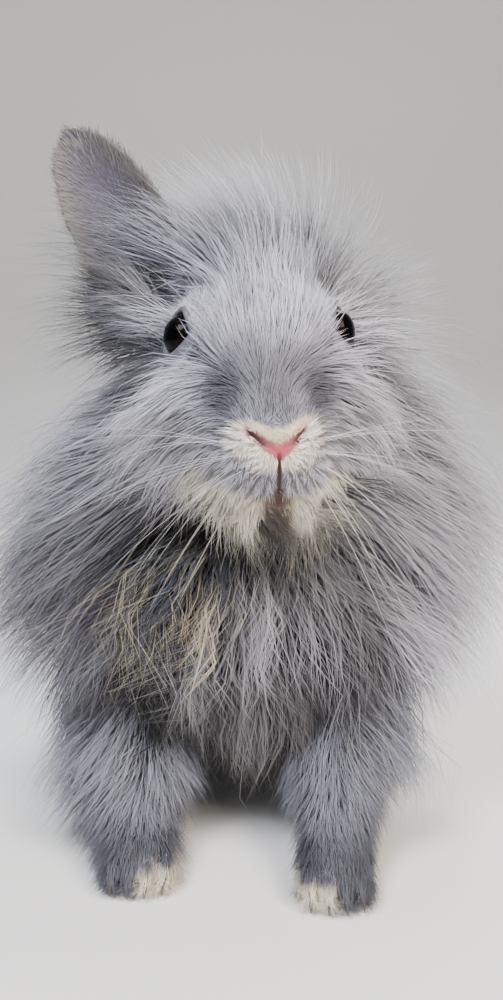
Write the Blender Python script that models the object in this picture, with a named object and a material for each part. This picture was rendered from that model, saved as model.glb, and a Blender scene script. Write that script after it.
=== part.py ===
"""Life-size lionhead rabbit, standing on straight forelegs, one ear up and one ear laid back.

Run it with: blender --background --python part.py
Lengths are in metres, +Z is up and the rabbit looks along -Y, so its own right side is at -X.
"""
import math
import random

import bmesh
import bpy
import numpy as np
from mathutils import Matrix, Vector
from mathutils.bvhtree import BVHTree

MM = 0.001
GAP = 0.3 * MM            # kept between nodes that touch
FLOOR_CLEARANCE = 1.0 * MM  # lowest a lock may hang

# The head turns a little to its left and leans a little to its right.
HEAD_AT = Vector((2.5, 33.0, 167.5)) * MM     # midway between the eyes
HEAD_YAW = math.radians(4.5)
HEAD_ROLL = math.radians(-2.0)
HEAD_FRAME = (
    Matrix.Translation(HEAD_AT)
    @ Matrix.Rotation(HEAD_YAW, 4, "Z")
    @ Matrix.Rotation(HEAD_ROLL, 4, "Y")
)

EYE_RADIUS = 8.0 * MM
EYE_AT = Vector((21.5, 0.0, 0.0)) * MM        # in the head's frame, on its left
EYE_LOOK = Vector((0.86, -0.46, 0.14)).normalized()
LID_THICKNESS = 1.3 * MM

SIGN = {"right": -1, "left": 1}   # along X of each side of the body
BODY_MIDDLE = -5.0 * MM   # the trunk stands a little to the rabbit's right of the head

# Each ear: its base inside the head, its tip, and the way that its cup faces.
EARS = {
    "right": ((-20, 54, 168), (-60.5, 60, 234), (-0.25, -1.0, 0.1)),
    "left": ((25, 57, 173), (40, 127, 172), (0.75, -0.2, 0.55)),
}
EAR_THICKNESS = 2.4 * MM
EAR_COLUMNS = 6
# Along the ear: share of its length, half width in millimetres, half of the arc's angle in degrees.
EAR_ROWS = [
    (0.0, 6, 85), (0.15, 11, 80), (0.3, 14.5, 72), (0.45, 16.3, 62), (0.6, 16, 54),
    (0.74, 14.3, 48), (0.86, 11, 42), (0.95, 7, 36), (1.0, 3, 30),
]
CLAW_LENGTH = 9.0 * MM
CLAW_RADIUS = 1.4 * MM
CLAW_SIDES = 5
CLAW_SINK = 4.0           # how deep, in millimetres, a claw sits in its toe

# Sections: x, y, z of the centre, half width, back or top reach, front or bottom reach, taper,
# and how much of the coat is in the core, all in millimetres but for the taper.
HEAD_SECTIONS = [
    (0, -38, -38, 12, 15, 15, 0.05, 1.5),
    (0, -30, -33, 15.5, 20, 22, 0.12, 2.5),
    (0, -18, -26, 21.5, 25, 28, 0.12, 4),
    (0, -6, -18, 27.5, 26.5, 34, 0.12, 4),
    (0, 6, -13, 30.5, 28, 36, 0.12, 4),
    (0, 18, -10, 29.5, 28.5, 35, 0.12, 6),
    (0, 28, -8, 26, 24, 30, 0.08, 9),
    (0, 35, -6, 18, 17, 22, 0.05, 9),
]
NECK_SECTIONS = [
    (2, 44, 152, 27, 24, 25, 0, 12),
    (2, 60, 142, 31, 31, 27, 0, 17),
    (1, 73, 126, 35, 35, 28, 0, 21),
    (-1, 84, 108, 37, 38, 28, 0, 21),
]
TORSO_SECTIONS = [
    (-1, 46, 82, 28, 25, 28, 0, 15),
    (-2, 58, 80, 36, 34, 35, 0, 18),
    (-3, 80, 83, 41, 42, 42, 0, 17),
    (-5, 110, 83, 44, 44, 46, 0, 12),
    (-5, 145, 79, 47, 47, 47, 0, 10),
    (-4, 174, 72, 45, 44, 43, 0, 10),
    (-4, 192, 65, 34, 33, 33, 0, 10),
]
FORELEG_SECTIONS = [
    (2, 68, 74, 15, 15, 15, 0, 8),
    (4, 68, 52, 13, 12, 12, 0, 9),
    (3, 58, 37, 11, 11, 10, 0, 9.5),
    (1, 45, 24, 10, 10, 9, 0, 9),
    (0, 34, 13, 9, 9, 8.5, 0, 7),
    (-1, 24, 8, 10, 9, 8, 0, 4.5),
    (-2, 15, 7, 10, 8, 6, 0, 2.5),
]
HIND_FOOT_SECTIONS = [
    (0, 178, 16, 8, 9, 9, 0, 4),
    (0, 168, 9, 9.5, 11, 9, 0, 3),
    (0, 140, 8, 9.5, 10, 8, 0, 2.5),
    (0, 110, 7, 10, 9, 7, 0, 2),
]
FORELEG_X = {"right": -36.5, "left": 27.0}          # middle of each forepaw's wrist
FORELEG_FORWARD = {"right": 0.0, "left": 10.0}      # the left forepaw stands ahead
HIND_FOOT_X = {"right": -42.0, "left": 32.0}
THIGH_AT = (3.0, 146.0, 52.0)                       # outward of the hind foot, then y and z
THIGH_RADII = (24.0, 40.0, 44.0)
TAIL_AT = (-4.0, 207.0, 78.0)
TAIL_RADII = (12.0, 12.0, 14.0)

# The lie of the coat: where, which way the hair runs, its length and how far it stands off the skin.
# Each place is (distance out from the middle, y, z) in millimetres, each run (out, back, up).
COAT = [
    ((0, -20, 163), (0.0, 0.7, 0.7), 6, 15),
    ((14, -8, 132), (0.7, 0.7, -0.2), 6, 15),
    ((6, 2, 115), (0.1, 0.1, -1.0), 13, 25),
    ((0, 24, 178), (0.0, 0.3, 0.95), 11, 30),
    ((0, 45, 187), (0.0, 0.1, 1.0), 34, 62),
    ((16, 48, 186), (0.35, 0.1, 0.95), 42, 62),
    ((27, 54, 178), (0.7, 0.1, 0.6), 42, 55),
    ((22, 25, 176), (0.6, 0.5, 0.5), 11, 25),
    ((26, 52, 172), (0.9, 0.2, 0.25), 46, 50),
    ((28, 42, 156), (0.85, 0.3, -0.15), 36, 40),
    ((26, 24, 148), (0.8, 0.6, -0.3), 13, 22),
    ((24, 30, 130), (0.85, 0.1, -0.5), 46, 38),
    ((28, 52, 138), (0.9, 0.15, -0.3), 68, 46),
    ((17, 8, 120), (0.5, 0.3, -0.8), 20, 28),
    ((0, 40, 114), (0.0, 0.0, -1.0), 24, 30),
    ((0, 74, 180), (0.0, 0.3, 0.95), 46, 58),
    ((30, 68, 174), (0.7, 0.1, 0.7), 60, 55),
    ((44, 76, 158), (0.9, 0.1, 0.45), 60, 50),
    ((34, 76, 156), (0.9, 0.3, 0.05), 62, 48),
    ((38, 74, 126), (0.9, 0.1, -0.4), 64, 44),
    ((0, 100, 145), (0.0, 1.0, 0.1), 40, 35),
    ((0, 34, 100), (0.0, -0.3, -1.0), 36, 30),
    ((0, 32, 74), (0.0, 0.0, -1.0), 38, 26),
    ((28, 42, 84), (0.55, 0.0, -0.8), 50, 34),
    ((40, 50, 60), (0.55, 0.0, -0.85), 44, 32),
    ((0, 54, 46), (0.0, 0.1, -1.0), 32, 24),
    ((0, 130, 34), (0.0, 0.9, -0.4), 17, 18),
    ((50, 74, 92), (0.8, 0.1, -0.6), 50, 40),
    ((54, 80, 62), (0.65, 0.1, -0.75), 42, 34),
    ((0, 130, 128), (0.0, 1.0, -0.05), 26, 24),
    ((32, 130, 116), (0.3, 0.9, -0.4), 28, 24),
    ((48, 118, 84), (0.3, 0.5, -0.8), 32, 26),
    ((42, 112, 52), (0.3, 0.3, -0.9), 28, 24),
    ((0, 196, 96), (0.0, 0.7, -0.5), 24, 28),
    ((36, 182, 80), (0.4, 0.6, -0.7), 26, 26),
    ((0, 214, 82), (0.0, 0.6, 0.6), 18, 50),
    ((40, 64, 52), (0.5, 0.2, -0.85), 30, 34),
    ((38, 46, 28), (0.4, 0.0, -0.9), 24, 30),
    ((34, 22, 14), (0.0, -0.9, -0.4), 6, 15),
    ((66, 146, 60), (0.25, 0.5, -0.85), 24, 24),
    ((44, 120, 14), (0.0, -1.0, -0.1), 8, 14),
]
COAT_REACH = 16.0 * MM    # how far each entry rules the coat around it

LOCK_THICKNESS = 2.4 * MM
LOCK_WIDTHS = (0.75, 1.0, 0.72)   # share of its width at its root, a third and two thirds along
LOCK_SINK = 5.0 * MM
SHORTEST_LOCK = 15.0 * MM   # shorter hair than this has no locks
CHEST_END = 70.0 * MM     # ahead of this, the trunk and legs carry their locks closer together
CHEST_CROWDING = 0.72
NARROWEST_LOCK = 9.0 * MM
WIDEST_LOCK = 17.0 * MM

GREY = (0.235, 0.240, 0.270)
PALE_GREY = (0.330, 0.335, 0.370)
CREAM = (0.60, 0.58, 0.50)
DARK_HORN = (0.07, 0.06, 0.055)
EYE_BROWN = (0.012, 0.008, 0.007)


def clear_scene():
    for old in list(bpy.data.objects):
        bpy.data.objects.remove(old)


def material(name, colour, roughness):
    made = bpy.data.materials.new(name)
    made.use_nodes = True
    shader = made.node_tree.nodes["Principled BSDF"]
    shader.inputs["Base Color"].default_value = (*colour, 1.0)
    shader.inputs["Roughness"].default_value = roughness
    shader.inputs["Metallic"].default_value = 0.0
    return made


def new_object(name, mesh):
    made = bpy.data.objects.new(name, mesh)
    bpy.context.scene.collection.objects.link(made)
    return made


def from_bmesh(name, shape):
    bmesh.ops.recalc_face_normals(shape, faces=shape.faces)
    bmesh.ops.triangulate(shape, faces=shape.faces, quad_method="FIXED", ngon_method="EAR_CLIP")
    mesh = bpy.data.meshes.new(name)
    shape.to_mesh(mesh)
    shape.free()
    return new_object(name, mesh)


def apply_modifiers(thing):
    """Replaces the object's mesh by the one that its modifiers give."""
    graph = bpy.context.evaluated_depsgraph_get()
    finished = bpy.data.meshes.new_from_object(thing.evaluated_get(graph))
    thing.modifiers.clear()
    thing.data = finished


def combine(body, others, operation, solver="MANIFOLD"):
    """Joins the others to the body, or cuts them from it, in one Boolean, and removes them."""
    group = bpy.data.collections.new("operands")
    bpy.context.scene.collection.children.link(group)
    for other in others:
        bpy.context.scene.collection.objects.unlink(other)
        group.objects.link(other)
    boolean = body.modifiers.new("combine", "BOOLEAN")
    boolean.operation = operation
    boolean.solver = solver
    boolean.operand_type = "COLLECTION"
    boolean.collection = group
    apply_modifiers(body)
    for other in others:
        bpy.data.objects.remove(other)
    bpy.data.collections.remove(group)
    keep_largest(body)


def keep_largest(thing):
    """Drops every closed surface of the object but its largest."""
    shape = bmesh.new()
    shape.from_mesh(thing.data)
    shape.faces.ensure_lookup_table()
    seen, islands = set(), []
    for start in shape.faces:
        if start.index in seen:
            continue
        seen.add(start.index)
        island, queue = [], [start]
        while queue:
            face = queue.pop()
            island.append(face)
            for edge in face.edges:
                for near in edge.link_faces:
                    if near.index not in seen:
                        seen.add(near.index)
                        queue.append(near)
        islands.append(island)
    islands.sort(key=lambda island: -sum(face.calc_area() for face in island))
    for island in islands[1:]:
        bmesh.ops.delete(shape, geom=island, context="FACES")
    loose = [vert for vert in shape.verts if not vert.link_faces]
    bmesh.ops.delete(shape, geom=loose, context="VERTS")
    shape.to_mesh(thing.data)
    shape.free()


def read_curve(rows, count):
    """A Catmull-Rom curve through the rows, read at evenly spaced places."""
    rows = np.array(rows, float)
    spans = len(rows) - 1
    ends = np.vstack([2 * rows[0] - rows[1], rows, 2 * rows[-1] - rows[-2]])
    at = np.linspace(0, spans, count)
    first = np.minimum(at.astype(int), spans - 1)
    t = (at - first)[:, None]
    a, b, c, d = (ends[first + k] for k in range(4))
    return b + 0.5 * t * (c - a + t * (2 * a - 5 * b + 4 * c - d + t * (3 * (b - c) + d - a)))


def unit(vectors):
    return vectors / np.linalg.norm(vectors, axis=-1, keepdims=True)


def loft(name, sections, rings, sides, front_cap, back_cap, grow=0.0, frame=None):
    """A closed body through the sections, with a rounded cap of the given depth on each end."""
    rows = read_curve(sections, rings)
    rows[:, :6] *= MM
    rows[:, 7] *= MM
    reach = rows[:, 3:6] + rows[:, 7:8] + grow
    along = unit(np.gradient(rows[:, :3], axis=0))
    right = unit(np.array([1.0, 0.0, 0.0]) - along * along[:, :1])
    up = np.cross(right, along)
    cap_steps = 3
    turns = [math.radians(90 * k / (cap_steps + 1)) for k in range(1, cap_steps + 1)]
    front = [(0, -1, front_cap * MM + grow, turn) for turn in reversed(turns)]
    middle = [(k, 0, 0.0, 0.0) for k in range(rings)]
    back = [(rings - 1, 1, back_cap * MM + grow, turn) for turn in turns]
    angles = np.linspace(0, 2 * math.pi, sides, endpoint=False)
    cosines, sines = np.cos(angles), np.sin(angles)
    shape = bmesh.new()
    loops = []
    for k, way, depth, turn in front + middle + back:
        centre = rows[k, :3] + along[k] * way * depth * math.sin(turn)
        size = math.cos(turn)
        across = reach[k, 0] * size * cosines * (1 - rows[k, 6] * sines)
        high = np.where(sines > 0, reach[k, 1], reach[k, 2]) * size * sines
        points = centre + across[:, None] * right[k] + high[:, None] * up[k]
        loops.append([shape.verts.new(point) for point in points])
    for ring, after in zip(loops, loops[1:]):
        for j in range(sides):
            shape.faces.new((ring[j], ring[j - 1], after[j - 1], after[j]))
    for loop, k, way, depth in ((loops[0], 0, -1, front_cap), (loops[-1], rings - 1, 1, back_cap)):
        tip = shape.verts.new(rows[k, :3] + along[k] * way * (depth * MM + grow))
        for j in range(sides):
            shape.faces.new((tip, loop[j - 1], loop[j]))
    made = from_bmesh(name, shape)
    if frame is not None:
        made.data.transform(frame)
    return made


def ball(name, centre, radii, turn=(0, 0, 0), segments=11, rings=7, grow=0.0, frame=None):
    """An ellipsoid. Centre and radii are in millimetres, and turn is in degrees about X, Y and Z."""
    shape = bmesh.new()
    bmesh.ops.create_uvsphere(shape, u_segments=segments, v_segments=rings, radius=1.0)
    made = from_bmesh(name, shape)
    sizes = [radius * MM + grow for radius in radii]
    made.data.transform(Matrix.Diagonal((*sizes, 1.0)))
    for axis, angle in zip("XYZ", turn):
        made.data.transform(Matrix.Rotation(math.radians(angle), 4, axis))
    made.data.transform(Matrix.Translation(Vector(centre) * MM))
    if frame is not None:
        made.data.transform(frame)
    return made


def tube(name, points, radius, taper=False):
    """A round tube along the points, as a closed mesh, down to a point at its end if it tapers."""
    curve = bpy.data.curves.new(name, "CURVE")
    curve.dimensions = "3D"
    curve.bevel_depth = radius
    curve.bevel_resolution = 0
    curve.use_fill_caps = True
    spline = curve.splines.new("POLY")
    spline.points.add(len(points) - 1)
    for k, point in enumerate(points):
        spline.points[k].co = (*point, 1.0)
        if taper:
            spline.points[k].radius = 1.0 - 0.85 * k / (len(points) - 1)
    guide = new_object(name, curve)
    graph = bpy.context.evaluated_depsgraph_get()
    mesh = bpy.data.meshes.new_from_object(guide.evaluated_get(graph))
    bpy.data.objects.remove(guide)
    shape = bmesh.new()
    shape.from_mesh(mesh)
    bmesh.ops.remove_doubles(shape, verts=shape.verts, dist=0.01 * MM)
    return from_bmesh(name, shape)


def surface_tree(things):
    """One tree of all the faces of several objects, for rays and overlap tests."""
    points, faces = [], []
    for thing in things:
        offset = len(points)
        points += [vert.co.copy() for vert in thing.data.vertices]
        faces += [[v + offset for v in face.vertices] for face in thing.data.polygons]
    return BVHTree.FromPolygons(points, faces)


def inside(tree, point):
    """Whether the point is inside a closed surface of the tree: a ray out of it crosses an odd number."""
    way = Vector((0.31, 0.23, 0.92)).normalized()
    spot, crossings = Vector(point), 0
    while True:
        hit, _, _, _ = tree.ray_cast(spot, way)
        if hit is None:
            return crossings % 2 == 1
        spot = hit + way * 1e-6
        crossings += 1


def eye_frame(side):
    """Where an eye is and which way it looks, in the row's frame."""
    sign = SIGN[side]
    centre = HEAD_FRAME @ Vector((sign * EYE_AT.x, EYE_AT.y, EYE_AT.z))
    look = HEAD_FRAME.to_3x3() @ Vector((sign * EYE_LOOK.x, EYE_LOOK.y, EYE_LOOK.z))
    return centre, look


def eyeball(side, grow=0.0):
    centre, look = eye_frame(side)
    shape = bmesh.new()
    bmesh.ops.create_uvsphere(shape, u_segments=12, v_segments=8, radius=EYE_RADIUS + grow)
    made = from_bmesh("eye_" + side, shape)
    made.data.transform(look.to_track_quat("Z", "Y").to_matrix().to_4x4())
    made.data.transform(Matrix.Translation(centre))
    return made


def eye_opening(side):
    """The almond between the lids, as a cutter."""
    centre, look = eye_frame(side)
    shape = bmesh.new()
    bmesh.ops.create_uvsphere(shape, u_segments=11, v_segments=7, radius=1.0)
    made = from_bmesh("opening", shape)
    made.data.transform(Matrix.Diagonal((7.4 * MM, 6.0 * MM, 9.0 * MM, 1.0)))
    made.data.transform(look.to_track_quat("Z", "Y").to_matrix().to_4x4())
    made.data.transform(Matrix.Translation(centre + look * 7.5 * MM))
    return made


def head_core(grow=0.0):
    return loft("head", HEAD_SECTIONS, 14, 20, 8, 5, grow, HEAD_FRAME)


def groove(name, tree, start, ways, radius):
    """A thin tube along the head's surface, where rays from the start meet it, to cut a line."""
    points = []
    for way in ways:
        direction = (HEAD_FRAME.to_3x3() @ Vector(way)).normalized()
        hit, _, _, _ = tree.ray_cast(HEAD_FRAME @ (Vector(start) * MM), direction)
        points.append(hit)
    return tube(name, points, radius)


def build_head():
    """The head with its lids, nostrils, split upper lip and mouth, without its locks."""
    head = head_core()
    soft_forms = []
    for sign in (-1, 1):
        soft_forms += [
            ball("whisker_pad", (sign * 7.5, -39, -36), (8.5, 7.5, 9), frame=HEAD_FRAME),
            ball("brow", (sign * 21.8, 0.4, 6.3), (8.5, 12.5, 4.7), (0, sign * 27, 0), frame=HEAD_FRAME),
            ball("cheek", (sign * 18, -17, -30), (12, 14, 16), frame=HEAD_FRAME),
        ]
    soft_forms += [
        ball("nose", (0, -44.5, -28.5), (6.5, 5, 4.5), frame=HEAD_FRAME),
        ball("lower_lip", (0, -40.5, -49.5), (5.5, 4.5, 3.5), frame=HEAD_FRAME),
        ball("chin", (0, -33, -51.5), (11, 9, 6.5), frame=HEAD_FRAME),
    ]
    for side in ("right", "left"):
        centre, look = eye_frame(side)
        lid = eyeball(side, LID_THICKNESS)
        lid.data.transform(Matrix.Translation(look * 0.3 * MM))
        soft_forms.append(lid)
    combine(head, soft_forms, "UNION")
    tree = surface_tree([head])
    sides = [math.radians(angle) for angle in range(-56, 57, 14)]
    mouth = [(math.sin(a), -math.cos(a), -0.14 + 0.10 * abs(math.sin(a))) for a in sides]
    cutters = [
        groove("mouth", tree, (0, -30, -44.5), mouth, 0.9 * MM),
        groove("philtrum", tree, (0, -30, -39), [(0, -1, z / 10) for z in (4, 0, -4)], 0.8 * MM),
    ]
    for sign in (-1, 1):
        cutters.append(
            ball("nostril", (sign * 5.2, -48.2, -27.6), (3.6, 2.6, 1.1), (0, -sign * 28, 0), frame=HEAD_FRAME)
        )
    for side in ("right", "left"):
        cutters += [eye_opening(side), eyeball(side, GAP)]
    for cutter in cutters:
        combine(head, [cutter], "DIFFERENCE")
    return head


def ear_sheet(name, base, tip, cup_way):
    """A cupped ear from base to tip: each row is an arc with a thickness, widest at mid length."""
    base, tip = Vector(base) * MM, Vector(tip) * MM
    axis = (tip - base).normalized()
    cup = Vector(cup_way)
    cup = (cup - axis * cup.dot(axis)).normalized()
    side = axis.cross(cup)
    shape = bmesh.new()
    loops = []
    for u, half, spread in EAR_ROWS:
        centre = base.lerp(tip, u)
        open_angle = math.radians(spread)
        radius = half * MM / math.sin(open_angle)
        sag = radius * (1 - math.cos(open_angle))
        thick = 0.5 * EAR_THICKNESS
        angles = [open_angle * (2 * j / EAR_COLUMNS - 1) for j in range(EAR_COLUMNS + 1)]
        outer, inner = [], []
        for angle in angles:
            out = side * math.sin(angle) - cup * math.cos(angle)
            spot = centre + out * radius + cup * (radius - 0.5 * sag)
            outer.append(shape.verts.new(spot + out * thick))
            inner.append(shape.verts.new(spot - out * thick))
        loops.append(outer + inner[::-1])
    count = len(loops[0])
    for loop, after in zip(loops, loops[1:]):
        for j in range(count):
            shape.faces.new((loop[j - 1], loop[j], after[j], after[j - 1]))
    for loop in (loops[0], loops[-1]):
        for j in range(EAR_COLUMNS):
            shape.faces.new((loop[j], loop[j + 1], loop[-2 - j], loop[-1 - j]))
    return from_bmesh(name, shape)


def swollen_ear(side):
    """The ear with its surface moved out, to cut the room that it takes in what it grows from."""
    ear = ear_sheet("ear_cut", *EARS[side])
    normals = [vert.normal.copy() for vert in ear.data.vertices]
    for vert, normal in zip(ear.data.vertices, normals):
        vert.co += normal * 2 * GAP
    return ear


def leg_sections(sections, side, x, forward=0.0):
    """The sections moved to one side, mirrored for the right."""
    sign = SIGN[side]
    return [(x + sign * row[0], row[1] - forward, *row[2:]) for row in sections]


def toe_places(side, x, front, spread):
    """Middles of the four toes of one foot: across it, and a little further back at its sides."""
    for k in range(4):
        out = (k - 1.5) * spread
        yield x + out, front + abs(out) * 0.35, k + 1


def cut_flat(thing):
    """Cuts the object at the floor, so that it stands on a flat sole."""
    shape = bmesh.new()
    shape.from_mesh(thing.data)
    geometry = shape.verts[:] + shape.edges[:] + shape.faces[:]
    cut = bmesh.ops.bisect_plane(
        shape, geom=geometry, plane_co=(0, 0, 0), plane_no=(0, 0, -1), clear_outer=True
    )
    rim = [item for item in cut["geom_cut"] if isinstance(item, bmesh.types.BMEdge)]
    bmesh.ops.holes_fill(shape, edges=rim)
    bmesh.ops.triangulate(shape, faces=shape.faces)
    bmesh.ops.recalc_face_normals(shape, faces=shape.faces)
    shape.to_mesh(thing.data)
    shape.free()


def claw(name, x, y, z, grow=0.0):
    """A curved, tapered claw that points forward and down from its toe."""
    shape = bmesh.new()
    loops = []
    for t, size in ((0.0, 1.0), (0.6, 0.8), (1.0, 0.25)):
        reach = CLAW_LENGTH + 2 * grow
        centre = Vector((x * MM, y * MM + grow - t * reach, z * MM - 2.6 * MM * t * t))
        radius = CLAW_RADIUS * size + grow
        turns = [2 * math.pi * j / CLAW_SIDES for j in range(CLAW_SIDES)]
        loops.append([
            shape.verts.new(centre + Vector((math.cos(a), 0, math.sin(a) * 1.15)) * radius) for a in turns
        ])
    for loop, after in zip(loops, loops[1:]):
        for j in range(CLAW_SIDES):
            shape.faces.new((loop[j - 1], loop[j], after[j], after[j - 1]))
    shape.faces.new(loops[0])
    shape.faces.new(loops[-1])
    return from_bmesh(name, shape)


def fore_toes(side):
    return list(toe_places(side, FORELEG_X[side] - 2 * SIGN[side],
                           9.5 - FORELEG_FORWARD[side], 5.2))


def hind_toes(side):
    return list(toe_places(side, HIND_FOOT_X[side], 103.0, 5.4))


def bare_torso(grow=0.0):
    return loft("torso", TORSO_SECTIONS, 10, 18, 10, 10, grow)


def bare_neck():
    return loft("neck", NECK_SECTIONS, 6, 18, 10, 10)


def bare_tail():
    return ball("tail", TAIL_AT, TAIL_RADII, (-20, 0, 0), segments=10, rings=7)


def bare_foreleg(side):
    rows = leg_sections(FORELEG_SECTIONS, side, FORELEG_X[side], FORELEG_FORWARD[side])
    return loft("foreleg_" + side, rows, 9, 12, 8, 5)


def bare_thigh(side):
    x = SIGN[side] * THIGH_AT[0] + HIND_FOOT_X[side]
    return ball("hindleg_" + side, (x, THIGH_AT[1], THIGH_AT[2]), THIGH_RADII, (8, 0, 0), 14, 9)


def build_foreleg(side):
    leg = bare_foreleg(side)
    toes = [ball("toe", (tx, ty, 4.6), (3.6, 7.5, 5.4), segments=8, rings=5)
            for tx, ty, _ in fore_toes(side)]
    combine(leg, toes, "UNION")
    return leg


def build_hindleg(side):
    rows = leg_sections(HIND_FOOT_SECTIONS, side, HIND_FOOT_X[side])
    foot = loft("foot", rows, 6, 10, 6, 6)
    toes = [ball("toe", (tx, ty, 4.8), (3.8, 8.5, 5.6), segments=8, rings=5)
            for tx, ty, _ in hind_toes(side)]
    leg = bare_thigh(side)
    combine(leg, [foot] + toes, "UNION")
    return leg


def coat_at(point):
    """The hair's run, length in metres and lift in radians at a point, from the nearest entries."""
    middle = HEAD_AT.x if point[2] > 110 * MM and point[1] < 70 * MM else BODY_MIDDLE
    sign = 1.0 if point[0] >= middle else -1.0
    seen = Vector((abs(point[0] - middle), point[1], point[2]))
    total, run, length, lift = 0.0, Vector((0, 0, 0)), 0.0, 0.0
    for place, way, long, stand in COAT:
        away = (seen - Vector(place) * MM).length / COAT_REACH
        weight = math.exp(-away * away) + 1e-6 / (1e-3 + away ** 4)
        total += weight
        run += weight * Vector(way).normalized()
        length += weight * long
        lift += weight * stand
    run.x *= sign
    return run.normalized(), length / total * MM, math.radians(lift / total)


def lock_mesh(path, normals, width, thickness):
    """A flat, tapered lock along the path: two edges and a raised back, drawn to a point."""
    shape = bmesh.new()
    rings = []
    last = len(path) - 1
    for k, share in enumerate(LOCK_WIDTHS):
        along = (path[min(k + 1, last)] - path[max(k - 1, 0)]).normalized()
        side = along.cross(normals[k]).normalized()
        out = side.cross(along)
        half = 0.5 * width * share
        rings.append([
            shape.verts.new(path[k] - side * half),
            shape.verts.new(path[k] + out * thickness * share),
            shape.verts.new(path[k] + side * half),
        ])
    corners = len(rings[0])
    for ring, after in zip(rings, rings[1:]):
        for j in range(corners):
            shape.faces.new((ring[j - 1], ring[j], after[j], after[j - 1]))
    tip = shape.verts.new(path[-1])
    for j in range(corners):
        shape.faces.new((rings[-1][j - 1], rings[-1][j], tip))
    shape.faces.new(rings[0])
    return from_bmesh("lock", shape)


def lock_path(root, normal, run, length, lift, droop, swing):
    """The middle line of a lock: off the surface at its lift, then over along the coat's lie."""
    flat = (run - normal * run.dot(normal)).normalized()
    flat = (flat + normal.cross(flat) * swing).normalized()
    heading = flat * math.cos(lift) + normal * math.sin(lift)
    path, normals = [root - normal * LOCK_SINK - flat * LOCK_SINK * 0.3], [normal]
    point = root.copy()
    steps = len(LOCK_WIDTHS)
    for k in range(steps):
        point = point + heading * (length / steps)
        path.append(point.copy())
        side = heading.cross(normal).normalized()
        normals.append(side.cross(heading))
        share = (k + 1) / steps
        heading = (heading + flat * 0.3 * share + Vector((0, 0, -droop * share))).normalized()
    return path, normals


def even_roots(core, spacing, allowed, dice):
    """Places spread evenly over the core's faces, closer together on the chest."""
    faces = sorted(core.data.polygons, key=lambda face: [round(c, 5) for c in face.center])
    weights = [face.area for face in faces]
    tries = int(sum(weights) / spacing ** 2 * 30) + 80
    kept = []
    for face in dice.choices(faces, weights, k=tries):
        corners = [core.data.vertices[v].co for v in face.vertices]
        a, b = dice.random(), dice.random()
        if a + b > 1:
            a, b = 1 - a, 1 - b
        point = corners[0] + (corners[1] - corners[0]) * a + (corners[2] - corners[0]) * b
        room = spacing * (CHEST_CROWDING if point.y < CHEST_END else 1)
        if all((point - other).length > room for other, _ in kept) and allowed(point, face.normal):
            kept.append((point, face.normal.copy()))
    return kept


def grow_locks(bare, core, others, other_locks, spacing, width_share, buried, allowed, seed):
    """Roots locks all over the bare form and bends each clear of the other nodes and their locks."""
    dice = random.Random(seed)
    cores = surface_tree(others)
    neighbours = surface_tree(others + other_locks)
    own = surface_tree([core])

    def free(point, normal):
        return allowed(point) and not inside(cores, point + normal * 1.5 * MM)

    roots = even_roots(bare, spacing, free, dice)
    bpy.data.objects.remove(bare)
    roots.sort(key=lambda root: root[0].z + 0.4 * root[0].y)
    placed = []
    for point, normal in roots:
        run, length, lift = coat_at(point)
        if length < SHORTEST_LOCK:
            continue
        length = (length - buried) * dice.uniform(0.86, 1.08)
        width = max(NARROWEST_LOCK, min(WIDEST_LOCK, length * width_share)) * dice.uniform(0.85, 1.15)
        swing = dice.uniform(-0.22, 0.22)
        droop = 0.16 + 0.1 * dice.random()
        locks_here = surface_tree(placed)
        for attempt in range(14):
            reach = length * (1 - 0.03 * attempt)
            path, normals = lock_path(
                point, normal, run, reach, lift + math.radians(4 * attempt), droop,
                swing * (1 if attempt % 2 else -1),
            )
            if min(spot.z for spot in path) < FLOOR_CLEARANCE + LOCK_THICKNESS:
                continue
            if inside(cores, path[-1]) or inside(own, path[-1]):
                continue
            grown = lock_mesh(path, normals, width + 2 * GAP, LOCK_THICKNESS + 2 * GAP)
            shape = surface_tree([grown])
            bpy.data.objects.remove(grown)
            crosses_own = attempt < 3 and locks_here.overlap(shape)
            if not crosses_own and not neighbours.overlap(shape):
                placed.append(lock_mesh(path, normals, width, LOCK_THICKNESS))
                break
    print(core.name, len(roots), "roots", len(placed), "locks")
    return placed


def finish(thing, finish_material):
    """Gives a node its finish and rounds its shading but for sharp edges."""
    thing.data.materials.clear()
    thing.data.materials.append(finish_material)
    thing.data.shade_smooth()
    thing.data.set_sharp_from_angle(angle=math.radians(35))


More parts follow.
